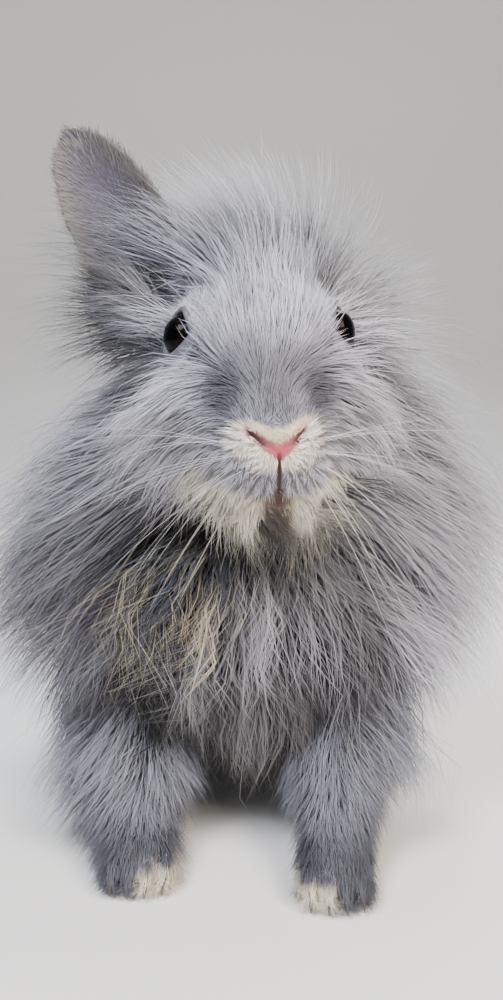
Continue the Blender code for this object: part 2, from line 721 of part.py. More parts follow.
def build():
    clear_scene()
    coat = material("blue_grey_coat", GREY, 0.75)
    pale = material("pale_grey_short_coat", PALE_GREY, 0.7)
    foot_coat = material("grey_coat_with_cream_toes", PALE_GREY, 0.75)
    horn = material("dark_claw_horn", DARK_HORN, 0.35)
    eye = material("dark_wet_eye", EYE_BROWN, 0.08)

    head = build_head()
    torso = bare_torso()
    combine(torso, [head_core(GAP)], "DIFFERENCE")
    ears = {}
    for side, ear in EARS.items():
        ears[side] = ear_sheet("ear_" + side, *ear)
        combine(ears[side], [head_core(GAP)], "DIFFERENCE")
    neck = bare_neck()
    cutters = [head_core(GAP), bare_torso(GAP)]
    cutters += [swollen_ear(side) for side in EARS]
    for cutter in cutters:
        combine(neck, [cutter], "DIFFERENCE")

    legs = {}
    for side in ("right", "left"):
        for name, maker in (("fore", build_foreleg), ("hind", build_hindleg)):
            leg = maker(side)
            combine(leg, [bare_torso(GAP)], "DIFFERENCE")
            cut_flat(leg)
            legs[name + side] = leg
    tail = bare_tail()
    combine(tail, [bare_torso(GAP)], "DIFFERENCE")

    claws = []
    for side in ("right", "left"):
        for kind, places, tip in (("fore", fore_toes(side), 7.5), ("hind", hind_toes(side), 8.5)):
            for x, y, number in places:
                at = (x, y - tip + CLAW_SINK, 4.6)
                combine(legs[kind + side], [claw("claw_cut", *at, grow=GAP)], "DIFFERENCE")
                claws.append(claw(f"claw_{kind}_{side}_{number}", *at))

    eyes = {side: eyeball(side) for side in ("right", "left")}
    nodes = [head, torso, neck, tail, *ears.values(), *legs.values(), *claws, *eyes.values()]

    eye_spots = [eye_frame(side)[0] for side in eyes]
    muzzle = HEAD_FRAME @ (Vector((0, -42, -30)) * MM)

    def head_grows(point):
        if min((point - spot).length for spot in eye_spots) < 17 * MM:
            return False
        return (point - muzzle).length > 26 * MM

    def off_foot(point):
        return point.z > 22 * MM

    plans = [
        (torso, bare_torso(), 20 * MM, 0.45, 11 * MM, lambda point: point.z > 32 * MM),
        (legs["foreright"], bare_foreleg("right"), 14.5 * MM, 0.6, 6 * MM, off_foot),
        (legs["foreleft"], bare_foreleg("left"), 14.5 * MM, 0.6, 6 * MM, off_foot),
        (legs["hindright"], bare_thigh("right"), 17 * MM, 0.7, 6 * MM, off_foot),
        (legs["hindleft"], bare_thigh("left"), 17 * MM, 0.7, 6 * MM, off_foot),
        (neck, bare_neck(), 13.6 * MM, 0.34, 19 * MM, lambda point: True),
        (head, head_core(), 12.9 * MM, 0.36, 7 * MM, head_grows),
        (tail, bare_tail(), 8.5 * MM, 0.6, 3 * MM, lambda point: True),
    ]
    grown = {}
    for seed, (core, bare, spacing, width_share, buried, allowed) in enumerate(plans):
        others = [thing for thing in nodes if thing is not core]
        other_locks = [lock for locks in grown.values() for lock in locks]
        grown[core] = grow_locks(
            bare, core, others, other_locks, spacing, width_share, buried, allowed, seed
        )
    for core, locks in grown.items():
        print(core.name, "carries", len(locks), "locks")
        combine(core, locks, "UNION")

    finishes = {"ear": pale, "fore": foot_coat, "hind": foot_coat, "claw": horn, "eye": eye}
    for thing in nodes:
        finish(thing, finishes.get(thing.name[:4].rstrip("_"), coat))

    low = Vector((1e9, 1e9, 1e9))
    high = -low
    for thing in nodes:
        for vert in thing.data.vertices:
            low = Vector(map(min, low, vert.co))
            high = Vector(map(max, high, vert.co))
    middle = Vector(((low.x + high.x) / 2, (low.y + high.y) / 2, 0.0))
    group = bpy.data.collections.new("lionhead_rabbit")
    bpy.context.scene.collection.children.link(group)
    for thing in nodes:
        thing.data.transform(Matrix.Translation(-middle))
        bpy.context.scene.collection.objects.unlink(thing)
        group.objects.link(thing)


build()
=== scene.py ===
import math

import bpy
import numpy as np
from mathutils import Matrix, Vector
from mathutils.bvhtree import BVHTree
from mathutils.kdtree import KDTree


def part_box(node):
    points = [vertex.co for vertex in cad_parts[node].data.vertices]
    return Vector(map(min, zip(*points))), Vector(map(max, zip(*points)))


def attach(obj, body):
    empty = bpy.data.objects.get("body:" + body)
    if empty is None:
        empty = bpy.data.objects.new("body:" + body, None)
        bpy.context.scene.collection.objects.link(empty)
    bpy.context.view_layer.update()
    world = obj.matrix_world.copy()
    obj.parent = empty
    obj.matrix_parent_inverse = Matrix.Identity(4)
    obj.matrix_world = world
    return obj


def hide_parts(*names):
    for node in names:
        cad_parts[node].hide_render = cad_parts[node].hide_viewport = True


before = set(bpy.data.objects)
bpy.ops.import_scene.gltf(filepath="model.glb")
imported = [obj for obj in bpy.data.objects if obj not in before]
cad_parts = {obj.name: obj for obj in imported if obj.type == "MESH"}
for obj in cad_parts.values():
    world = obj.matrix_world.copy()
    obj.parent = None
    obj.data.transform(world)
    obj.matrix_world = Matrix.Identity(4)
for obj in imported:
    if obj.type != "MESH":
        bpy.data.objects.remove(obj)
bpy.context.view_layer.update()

print("frame loaded")

# Shapes are worked out in millimetres in the rabbit's own frame: +X its left, -Y the way it looks,
# Z up from the floor. toFrame moves them to the frame in metres when a mesh is made.
mm = 0.001
dice = np.random.default_rng(7)

headPose = {"at": (2.5, 33.0, 167.5), "yaw": 4.5, "roll": -2.0}   # midway between the eyes
eyes = {
    "radius": 8.0, "out": 21.5, "look": (0.86, -0.46, 0.14),
    "opening": (7.1, 7.2),      # half its length and height between the lids
    "almond": 0.12,             # how far the lids close in towards the corners
    "slant": 0.9,               # how far the front corner lies lower
    "socket": 8.9,
}
sideSign = {"right": -1, "left": 1}


def turnAbout(axis, degrees):
    # the rotation matrix about one axis of X, Y, Z
    c, s = math.cos(math.radians(degrees)), math.sin(math.radians(degrees))
    rows = {"X": [[1, 0, 0], [0, c, -s], [0, s, c]],
            "Y": [[c, 0, s], [0, 1, 0], [-s, 0, c]],
            "Z": [[c, -s, 0], [s, c, 0], [0, 0, 1]]}
    return np.array(rows[axis], float)


headTurn = turnAbout("Z", headPose["yaw"]) @ turnAbout("Y", headPose["roll"])
headAt = np.array(headPose["at"])


def fromHead(points):
    # head's own frame to the rabbit's: turned, then moved to between the eyes
    return np.asarray(points, float) @ headTurn.T + headAt


def toHead(points):
    # back from the rabbit's frame to the head's
    return (np.asarray(points, float) - headAt) @ headTurn


low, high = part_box("eye_right")
eyeInFrame = (np.array(low) + np.array(high)) / 2 / mm
frameShift = fromHead([-eyes["out"], 0, 0]) - eyeInFrame
frameShift[2] = 0.0


def toFrame(points):
    # the rabbit's frame in millimetres to the shared frame in metres
    return (np.asarray(points, float) - frameShift) * mm


def unit(vectors):
    # each vector at a length of one
    return vectors / np.maximum(np.linalg.norm(vectors, axis=-1, keepdims=True), 1e-9)


def smoothStep(low, high, value):
    # from nought at low to one at high, with a soft start and end; low may be the greater
    t = np.clip((np.asarray(value, float) - low) / (high - low), 0, 1)
    return t * t * (3 - 2 * t)


def bump(points, centre, radii):
    # one at the centre, fading as a bell over the radii
    return np.exp(-(((points - np.array(centre)) / np.array(radii)) ** 2).sum(-1))


def wander(points, size, seed):
    # smooth noise in the room, a sum of slanted waves, from -1 to 1
    draw = np.random.default_rng(seed)
    total = np.zeros(len(points))
    for _ in range(6):
        way = unit(draw.normal(size=3)) * 2 * np.pi / (size * draw.uniform(0.6, 1.6))
        total += np.sin(points @ way + draw.uniform(0, 6.3))
    return total / 3.2


def makeMesh(name, points, faces, smooth=True):
    # faces is a whole array of triangles or of four-sided faces
    mesh = bpy.data.meshes.new(name)
    points, faces = toFrame(points), np.asarray(faces, np.int32)
    size = faces.shape[1]
    mesh.vertices.add(len(points))
    mesh.vertices.foreach_set("co", points.astype(np.float32).ravel())
    mesh.loops.add(faces.size)
    mesh.loops.foreach_set("vertex_index", faces.ravel())
    mesh.polygons.add(len(faces))
    mesh.polygons.foreach_set("loop_start", np.arange(0, faces.size, size, dtype=np.int32))
    mesh.update(calc_edges=True)
    mesh.validate()
    if smooth:
        mesh.shade_smooth()
    made = bpy.data.objects.new(name, mesh)
    bpy.context.scene.collection.objects.link(made)
    return made


def setColours(thing, name, colours):
    layer = thing.data.attributes.new(name, "FLOAT_COLOR", "POINT")
    full = np.ones((len(colours), 4), np.float32)
    full[:, :3] = colours
    layer.data.foreach_set("color", full.ravel())


def gridFaces(rings, sides):
    # triangles of a tube of rings, closed round its sides
    k, j = np.meshgrid(np.arange(rings - 1), np.arange(sides), indexing="ij")
    a = k * sides + j
    b = k * sides + (j + 1) % sides
    one = np.stack([a, b, b + sides], -1).reshape(-1, 3)
    two = np.stack([a, b + sides, a + sides], -1).reshape(-1, 3)
    return np.vstack([one, two])


def capFaces(start, sides, tip, flip):
    # a fan from one ring to its pole
    j = np.arange(sides)
    fan = np.stack([start + (j + 1) % sides, start + j, np.full(sides, tip)], -1)
    return fan[:, ::-1] if flip else fan


def readCurve(rows, at):
    # Catmull-Rom through the rows at places counted in rows
    rows = np.array(rows, float)
    ends = np.vstack([2 * rows[0] - rows[1], rows, 2 * rows[-1] - rows[-2]])
    first = np.clip(at.astype(int), 0, len(rows) - 2)
    t = (at - first)[:, None]
    a, b, c, d = (ends[first + k] for k in range(4))
    return b + 0.5 * t * (c - a + t * (2 * a - 5 * b + 4 * c - d + t * (3 * (b - c) + d - a)))


def loftGrid(sections, rings, sides, frontCap, backCap, crowd=1.0, steps=10):
    # rings through the sections, each an oval of four reaches, with a quarter-ellipse cap at each end
    at = np.linspace(0, 1, rings) ** crowd * (len(sections) - 1)
    rows = readCurve(sections, at)
    along = unit(np.gradient(rows[:, :3], axis=0))
    right = unit(np.array([1.0, 0, 0]) - along * along[:, :1])
    up = np.cross(right, along)
    turns = np.radians(90 * np.arange(1, steps + 1) / (steps + 0.6))
    index = np.r_[np.zeros(steps, int), np.arange(rings), np.full(steps, rings - 1)]
    turn = np.r_[turns[::-1], np.zeros(rings), turns]
    away = np.r_[-frontCap * np.sin(turns[::-1]), np.zeros(rings), backCap * np.sin(turns)]
    rows, along, right, up = rows[index], along[index], right[index], up[index]
    angle = np.linspace(0, 2 * np.pi, sides, endpoint=False)[None, :]
    c, s = np.cos(angle), np.sin(angle)
    size = np.cos(turn)[:, None]
    across = rows[:, 3:4] * size * c * (1 - rows[:, 6:7] * s)
    high = np.where(s > 0, rows[:, 4:5], rows[:, 5:6]) * size * s
    centre = rows[:, :3] + along * away[:, None]
    points = centre[:, None] + across[..., None] * right[:, None] + high[..., None] * up[:, None]
    poles = np.array([rows[0, :3] - along[0] * frontCap, rows[-1, :3] + along[-1] * backCap])
    return points, poles


def outward(points, faces):
    # turns all the faces over if the closed surface's volume comes out negative
    corner = points[faces] - points.mean(0)
    volume = (np.cross(corner[:, 0], corner[:, 1]) * corner[:, 2]).sum()
    return faces if volume > 0 else faces[:, ::-1]


def closeGrid(points, poles):
    # the grid's points and the two poles, with all faces outward
    rings, sides = points.shape[:2]
    flat = np.vstack([points.reshape(-1, 3), poles])
    faces = np.vstack([
        gridFaces(rings, sides)[:, ::-1],
        capFaces(0, sides, rings * sides, True),
        capFaces((rings - 1) * sides, sides, rings * sides + 1, False),
    ])
    return flat, outward(flat, faces)


def ballGrid(centre, radii, turn=(0, 0, 0), rings=28, sides=40):
    # an ellipsoid with its poles along Y
    polar = np.linspace(0, np.pi, rings + 2)[1:-1][:, None]
    angle = np.linspace(0, 2 * np.pi, sides, endpoint=False)[None, :]
    points = np.stack([
        radii[0] * np.sin(polar) * np.cos(angle),
        -radii[1] * np.cos(polar) * np.ones_like(angle),
        radii[2] * np.sin(polar) * np.sin(angle),
    ], -1)
    poles = np.array([[0, -radii[1], 0], [0, radii[1], 0]], float)
    for axis, degrees in zip("XYZ", turn):
        points, poles = points @ turnAbout(axis, degrees).T, poles @ turnAbout(axis, degrees).T
    return points + np.array(centre, float), poles + np.array(centre, float)


# Sections: x, y, z of the centre, half width, reach up, reach down, taper.
headShape = {
    "sections": [
        (0, -38, -38, 12, 15, 15, 0.05), (0, -30, -33, 15.5, 20, 22, 0.12),
        (0, -18, -26, 21.5, 25, 28, 0.12), (0, -6, -18, 27.5, 26.5, 34, 0.12),
        (0, 6, -13, 30.5, 28, 36, 0.12), (0, 18, -10, 29.5, 28.5, 35, 0.12),
        (0, 28, -8, 26, 24, 30, 0.08), (0, 35, -6, 18, 17, 22, 0.05),
    ],
    "caps": (8, 5),
    "capSteps": 26,
    "rings": 92,
    "sides": 150,
    # centre, radii, height of each soft swelling, given for the left and mirrored
    "swellings": [
        ((7.5, -43, -36), (6, 6, 7), 2.6), ((0, -47, -29), (6.5, 4, 4), 2.2),
        ((19, -16, -30), (9, 13, 14), 2.5), ((0, -42, -49), (6, 5, 3), 1.6),
        ((0, -36, -53), (10, 8, 5), 2.2), ((23, -2, 10), (7, 10, 5), 2.0),
        ((23, 1, -1), (9, 13, 12), 3.0),
    ],
}
neckShape = {
    "sections": [(2, 44, 152, 27, 24, 25, 0), (2, 60, 142, 31, 31, 27, 0),
                 (1, 73, 126, 35, 35, 28, 0), (-1, 84, 108, 37, 38, 28, 0)],
    "caps": (10, 10), "rings": 30, "sides": 72,
}
torsoShape = {
    "sections": [(-1, 46, 82, 28, 25, 28, 0), (-2, 58, 80, 36, 34, 35, 0), (-3, 80, 83, 41, 42, 42, 0),
                 (-5, 110, 83, 44, 44, 46, 0), (-5, 145, 79, 47, 47, 47, 0),
                 (-4, 174, 72, 45, 44, 43, 0), (-4, 192, 65, 34, 33, 33, 0)],
    "caps": (10, 10), "rings": 64, "sides": 84,
}
forelegShape = {
    "sections": [(2, 68, 74, 15, 15, 15, 0), (4, 68, 52, 13, 12, 12, 0), (3, 58, 37, 11, 11, 10, 0),
                 (1, 45, 24, 10, 10, 9, 0), (0, 34, 13, 9, 9, 8.5, 0), (-1, 24, 8, 10, 9, 8, 0),
                 (-2, 15, 7, 10, 8, 6.6, 0)],
    "caps": (8, 5), "rings": 56, "sides": 40,
    "x": {"right": -36.5, "left": 27.0}, "forward": {"right": 0.0, "left": 10.0},
    "toeFront": 9.5, "toeSpread": 5.2, "toeRadii": (3.3, 7.0, 4.8), "toeHeight": 4.7, "clawTip": 7.5,
}
hindlegShape = {
    "sections": [(0, 178, 16, 8, 9, 9, 0), (0, 168, 9, 9.5, 11, 9, 0),
                 (0, 140, 8, 9.5, 10, 7.8, 0), (0, 110, 7, 10, 9, 6.8, 0)],
    "caps": (6, 6), "rings": 44, "sides": 36,
    "x": {"right": -42.0, "left": 32.0},
    "thighAt": (3.0, 146.0, 52.0), "thighRadii": (20, 36, 40),
    "toeFront": 103.0, "toeSpread": 5.4, "toeRadii": (3.5, 8.0, 5.0), "toeHeight": 5.0, "clawTip": 8.5,
}
tailShape = {"at": (-4.0, 205.0, 77.0), "radii": (7, 9, 10)}
claws = {"length": 9.0, "radius": 1.35, "sink": 4.0, "drop": 2.6, "height": 4.6}
earShape = {
    "right": {"base": (-20, 54, 168), "tip": (-60.5, 60, 234), "cup": (-0.25, -1.0, 0.1)},
    "left": {"base": (25, 57, 173), "tip": (40, 127, 172), "cup": (0.75, -0.2, 0.55)},
    # share of the length, half width, half of the arc's angle
    "rows": [(0.0, 6, 85), (0.15, 11, 80), (0.3, 14.5, 72), (0.45, 16.3, 62), (0.6, 16, 54),
             (0.74, 14.3, 48), (0.86, 11, 42), (0.95, 7, 36), (1.0, 3, 30)],
    "thickness": 1.7, "rings": 46, "columns": 26,
}


def noseLine(side):
    # the height of the nose's V at a distance from its middle, in the head's frame
    return -32.0 + 0.85 * side - 0.012 * side ** 2


# the grooves of the nose and mouth: half width and depth in mm
grooves = {"nostril": (0.8, 1.3), "split": (0.7, 1.3), "mouth": (0.8, 2.2)}


def headSurface():
    # the head's loft, swollen at the pads, chin and brows and grooved at the nose and mouth
    points, poles = loftGrid(headShape["sections"], headShape["rings"], headShape["sides"],
                             *headShape["caps"], crowd=1.3, steps=headShape["capSteps"])
    spine = points.mean(1, keepdims=True)
    out = unit(points - spine + np.array([0, -0.6, 0]) * smoothStep(-30, -44, points[..., 1:2]))
    grown = points.copy()
    for centre, radii, height in headShape["swellings"]:
        for sign in ((-1, 1) if centre[0] else (1,)):
            where = np.array([centre[0] * sign, centre[1], centre[2]])
            grown += out * (height * bump(points, where, radii))[..., None]
    x, y, z = grown[..., 0], grown[..., 1], grown[..., 2]
    front = smoothStep(-32, -40, y)
    side = np.abs(x)
    lipLine = -43.6 - 0.03 * side ** 2 + 0.1 * side
    away = {"nostril": z - noseLine(side), "split": x, "mouth": z - lipLine}
    within = {
        "nostril": smoothStep(8.6, 7.4, side) * (0.5 + 1.6 * smoothStep(3.0, 6.0, side)),
        "split": smoothStep(-43.5, -42.3, z) * smoothStep(-30.5, -32.5, z),
        "mouth": smoothStep(12, 9, side),
    }
    for name, (half, depth) in grooves.items():
        cut = np.exp(-(away[name] / half) ** 2) * within[name]
        grown = grown - out * (front * depth * cut)[..., None]
    return fromHead(grown), fromHead(poles)


def eyeWays(side, turn=np.eye(3)):
    # the eye's middle in the head's frame, and which way it looks, lies level and stands tall
    centre = np.array([sideSign[side] * eyes["out"], 0.0, 0.0])
    look = unit(np.array([sideSign[side] * eyes["look"][0], *eyes["look"][1:]])) @ turn
    level = unit(np.cross([0, 0, 1.0], look))
    return centre, look, level, np.cross(look, level)


# the section of a lid's rounded lip: how far out along the eye in mm, how far from its middle
lidLip = np.array([(0.25, 8.2), (0.0, 8.7), (0.5, 9.25), (1.6, 9.6), (3.0, 9.5), (5.0, 8.9),
                   (7.0, 7.6), (7.0, 6.6), (4.0, 6.6), (1.6, 7.5)])


def lidRing(side):
    # a ring of skin round the eye: an almond carried round, its section a rounded lip
    centre, look, level, tall = eyeWays(side)
    turn = np.linspace(0, 2 * np.pi, 72, endpoint=False)
    a = eyes["opening"][0] * np.cos(turn)
    b = eyes["opening"][1] * np.sin(turn) * (1 - eyes["almond"] * np.cos(turn) ** 2)
    b = b + eyes["slant"] * np.cos(turn) * sideSign[side]
    polar = np.arcsin(np.clip(np.hypot(a, b) / eyes["radius"], 0, 0.98))
    swing = np.arctan2(b, a)
    tilt = polar[:, None] + lidLip[None, :, 0] / 9
    swung = level * np.cos(swing)[:, None, None] + tall * np.sin(swing)[:, None, None]
    way = look * np.cos(tilt)[..., None] + swung * np.sin(tilt)[..., None]
    return fromHead(centre + way * lidLip[None, :, 1:2])


def almondShare(away, level, tall, sign):
    # how far out a direction lies in the almond between the lids: one at the lids' edge
    reach = np.maximum(np.linalg.norm(away, axis=-1), 1.0)
    a = away @ level / reach * eyes["radius"] / eyes["opening"][0]
    b = away @ tall / reach * eyes["radius"] - eyes["slant"] * a * sign
    return np.hypot(a, b / eyes["opening"][1] / np.clip(1 - eyes["almond"] * a ** 2, 0.6, 1))


def torusFaces(rings, sides):
    # triangles of a ring of rings, closed both ways
    k, j = np.meshgrid(np.arange(rings), np.arange(sides), indexing="ij")
    k2, j2 = (k + 1) % rings, (j + 1) % sides
    a, b, c, d = k * sides + j, k * sides + j2, k2 * sides + j2, k2 * sides + j
    return np.vstack([np.stack([a, b, c], -1).reshape(-1, 3), np.stack([a, c, d], -1).reshape(-1, 3)])


def earWays(side):
    # an ear's base and tip, and its three ways: along it, into its cup and across it
    base, tip, cup = (np.array(earShape[side][key], float) for key in ("base", "tip", "cup"))
    axis = unit(tip - base)
    cup = unit(cup - axis * np.dot(cup, axis))
    return base, tip, axis, cup, np.cross(axis, cup)


def earSurface(side):
    # arcs from base to tip, wide at mid length, with a thickness that thins to a round rim
    base, tip, axis, cup, across = earWays(side)
    rows = np.array(earShape["rows"], float)
    u = np.linspace(0, 1, earShape["rings"]) ** 0.85
    half = np.interp(u, rows[:, 0], rows[:, 1]) - 0.4
    half = np.where(u > 0.9, half * np.sqrt(np.clip(1 - ((u - 0.9) / 0.102) ** 2, 0.02, 1)), half)
    spread = np.radians(np.interp(u, rows[:, 0], rows[:, 2]))
    radius = half / np.sin(spread)
    sag = radius * (1 - np.cos(spread))
    v = np.linspace(-1, 1, earShape["columns"])
    angle = spread[:, None] * v[None, :]
    out = across * np.sin(angle)[..., None] - cup * np.cos(angle)[..., None]
    spot = base + (tip - base) * (u * 0.985)[:, None, None] + out * radius[:, None, None]
    spot = spot + cup * (radius - 0.5 * sag)[:, None, None]
    thick = 0.5 * earShape["thickness"] * np.sqrt(np.clip(1.02 - v ** 6, 0.05, 1))[None, :, None]
    fold = 0.8 * np.sin(np.pi * v) * np.sin(np.pi * u)[:, None]      # the soft fold inside the cup
    spot = spot + out * fold[..., None]
    ring = np.concatenate([spot + out * thick, (spot - out * thick)[:, ::-1]], 1)
    poles = np.array([ring[0].mean(0), ring[-1].mean(0)])
    return ring, poles


def moved(sections, side, x, forward=0.0):
    # a leg's sections at their place, mirrored for the right
    sign = sideSign[side]
    return [(x + sign * row[0], row[1] - forward, *row[2:]) for row in sections]


def toePlaces(shape, side):
    # middles of the four toes, the outer ones set back
    inward = 2 * sideSign[side] if "forward" in shape else 0
    forward = shape["forward"][side] if "forward" in shape else 0
    for k in range(4):
        out = (k - 1.5) * shape["toeSpread"]
        yield shape["x"][side] - inward + out, shape["toeFront"] - forward + abs(out) * 0.35, k + 1


def plainLoft(shape, sections):
    # a loft with the shape's own count of rings and sides, and its caps
    return loftGrid(sections, shape["rings"], shape["sides"], *shape["caps"])


def legGrids(side):
    # each leg's forms, by name
    x = forelegShape["x"][side]
    rows = moved(forelegShape["sections"], side, x, forelegShape["forward"][side])
    fore = plainLoft(forelegShape, rows)
    x = hindlegShape["x"][side]
    rows = moved(hindlegShape["sections"], side, x)
    foot = plainLoft(hindlegShape, rows)
    at = hindlegShape["thighAt"]
    thigh = ballGrid((x + sideSign[side] * at[0], at[1], at[2]), hindlegShape["thighRadii"],
                     (8, 0, 0), 40, 48)
    grids = [("fore_" + side, fore), ("hindFoot_" + side, foot), ("thigh_" + side, thigh)]
    for name, shape in (("fore_", forelegShape), ("hindFoot_", hindlegShape)):
        for x, y, number in toePlaces(shape, side):
            toe = ballGrid((x, y, shape["toeHeight"]), shape["toeRadii"], rings=14, sides=20)
            grids.append((name + side, toe))
    return grids


bodyGrids = [("head", headSurface()),
             ("neck", plainLoft(neckShape, neckShape["sections"])),
             ("torso", plainLoft(torsoShape, torsoShape["sections"])),
             ("tail", ballGrid(tailShape["at"], tailShape["radii"])),
             ("ear_right", earSurface("right")), ("ear_left", earSurface("left"))]
for side in sideSign:
    bodyGrids += legGrids(side)


def joinBodies(body, others, operation):
    # one Boolean with a collection of closed bodies, which are then removed
    group = bpy.data.collections.new("joined")
    bpy.context.scene.collection.children.link(group)
    for other in others:
        bpy.context.scene.collection.objects.unlink(other)
        group.objects.link(other)
    boolean = body.modifiers.new("join", "BOOLEAN")
    boolean.operation, boolean.solver = operation, "MANIFOLD"
    boolean.operand_type, boolean.collection = "COLLECTION", group
    graph = bpy.context.evaluated_depsgraph_get()
    mesh = bpy.data.meshes.new_from_object(body.evaluated_get(graph))
    body.modifiers.clear()
    body.data = mesh
    for other in others:
        bpy.data.objects.remove(other)
    bpy.data.collections.remove(group)


eyeMiddle = {side: fromHead(eyeWays(side)[0]) for side in sideSign}      # in the rabbit's frame


def buildSkin():
    # every form of flesh fused into one skin, then sockets cut and lids joined
    parts = [makeMesh(name, *closeGrid(*grid)) for name, grid in bodyGrids]
    skin = parts[0]
    skin.name = "skin"
    joinBodies(skin, parts[1:], "UNION")
    sockets, lids = [], []
    for side in sideSign:
        grid = ballGrid(eyeMiddle[side], (eyes["socket"],) * 3)
        sockets.append(makeMesh("socket", *closeGrid(*grid)))
        ring = lidRing(side)
        points = ring.reshape(-1, 3)
        lids.append(makeMesh("lid", points, outward(points, torusFaces(*ring.shape[:2]))))
    joinBodies(skin, sockets, "DIFFERENCE")
    joinBodies(skin, lids, "UNION")
    points = np.empty(len(skin.data.vertices) * 3, np.float32)
    skin.data.vertices.foreach_get("co", points)
    points[2::3] = np.maximum(points[2::3], 0.4 * mm)      # the soles lie flat on the floor
    skin.data.vertices.foreach_set("co", points)
    skin.data.shade_smooth()
    return skin


skin = buildSkin()
print("skin", len(skin.data.polygons), "faces")


def linear(hexColour):
    # sRGB hex to linear light
    part = np.array([int(hexColour[k:k + 2], 16) for k in (1, 3, 5)]) / 255
    return np.where(part <= 0.04045, part / 12.92, ((part + 0.055) / 1.055) ** 2.4)


def addNode(tree, kind, links=(), **settings):
    # one shader node: settings are sockets or properties, links are (socket, from node, output)
    node = tree.nodes.new(kind)
    for key, value in settings.items():
        if key in node.inputs:
            node.inputs[key].default_value = value
        else:
            setattr(node, key, value)
    for socket, source, output in links:
        tree.links.new(source.outputs[output], node.inputs[socket])
    return node


def newMaterial(name):
    # a material with its node tree and its main shader
    made = bpy.data.materials.new(name)
    made.use_nodes = True
    return made, made.node_tree, made.node_tree.nodes["Principled BSDF"]


def attributeMaterial(name, attribute, roughness, specular=0.5, sheen=0.0, coat=0.0):
    # colour from the piece's own point attribute
    made, tree, shader = newMaterial(name)
    colour = addNode(tree, "ShaderNodeAttribute", attribute_name=attribute)
    tree.links.new(colour.outputs["Color"], shader.inputs["Base Color"])
    shader.inputs["Roughness"].default_value = roughness
    shader.inputs["Specular IOR Level"].default_value = specular
    shader.inputs["Sheen Weight"].default_value = sheen
    shader.inputs["Coat Weight"].default_value = coat
    return made, tree, shader


coatColours = {
    "root": linear("#6c6b74"),       # under wool, dark blue-grey
    "middle": linear("#9d9ca5"),
    "tip": linear("#c4c3cb"),        # frosted tips
    "cream": linear("#fbf8f1"),
    "creamRoot": linear("#c8bba2"),
    "yellow": linear("#c6b184"),     # the cream just above the nose
    "follicle": linear("#5c5550"),
    "tan": linear("#a5987c"),        # tangled wool and the chin's stain
    "chinTip": linear("#f6ecdb"),
    "lip": linear("#3d2e2a"),
    # dark grey for the coat's darker patches and tangles, and for the painted shade in the clefts by
    # the eyes
    "dark": linear("#45464d"),
    "toe": linear("#efe8d2"),
    "earIn": linear("#585460"),
    "earRim": linear("#868079"),
    "mouth": linear("#3d2523"),
    "nose": linear("#834d51"),       # bare pink skin
    "rosy": linear("#b8485a"),       # the nose's middle
    "lid": linear("#5a5860"),
}

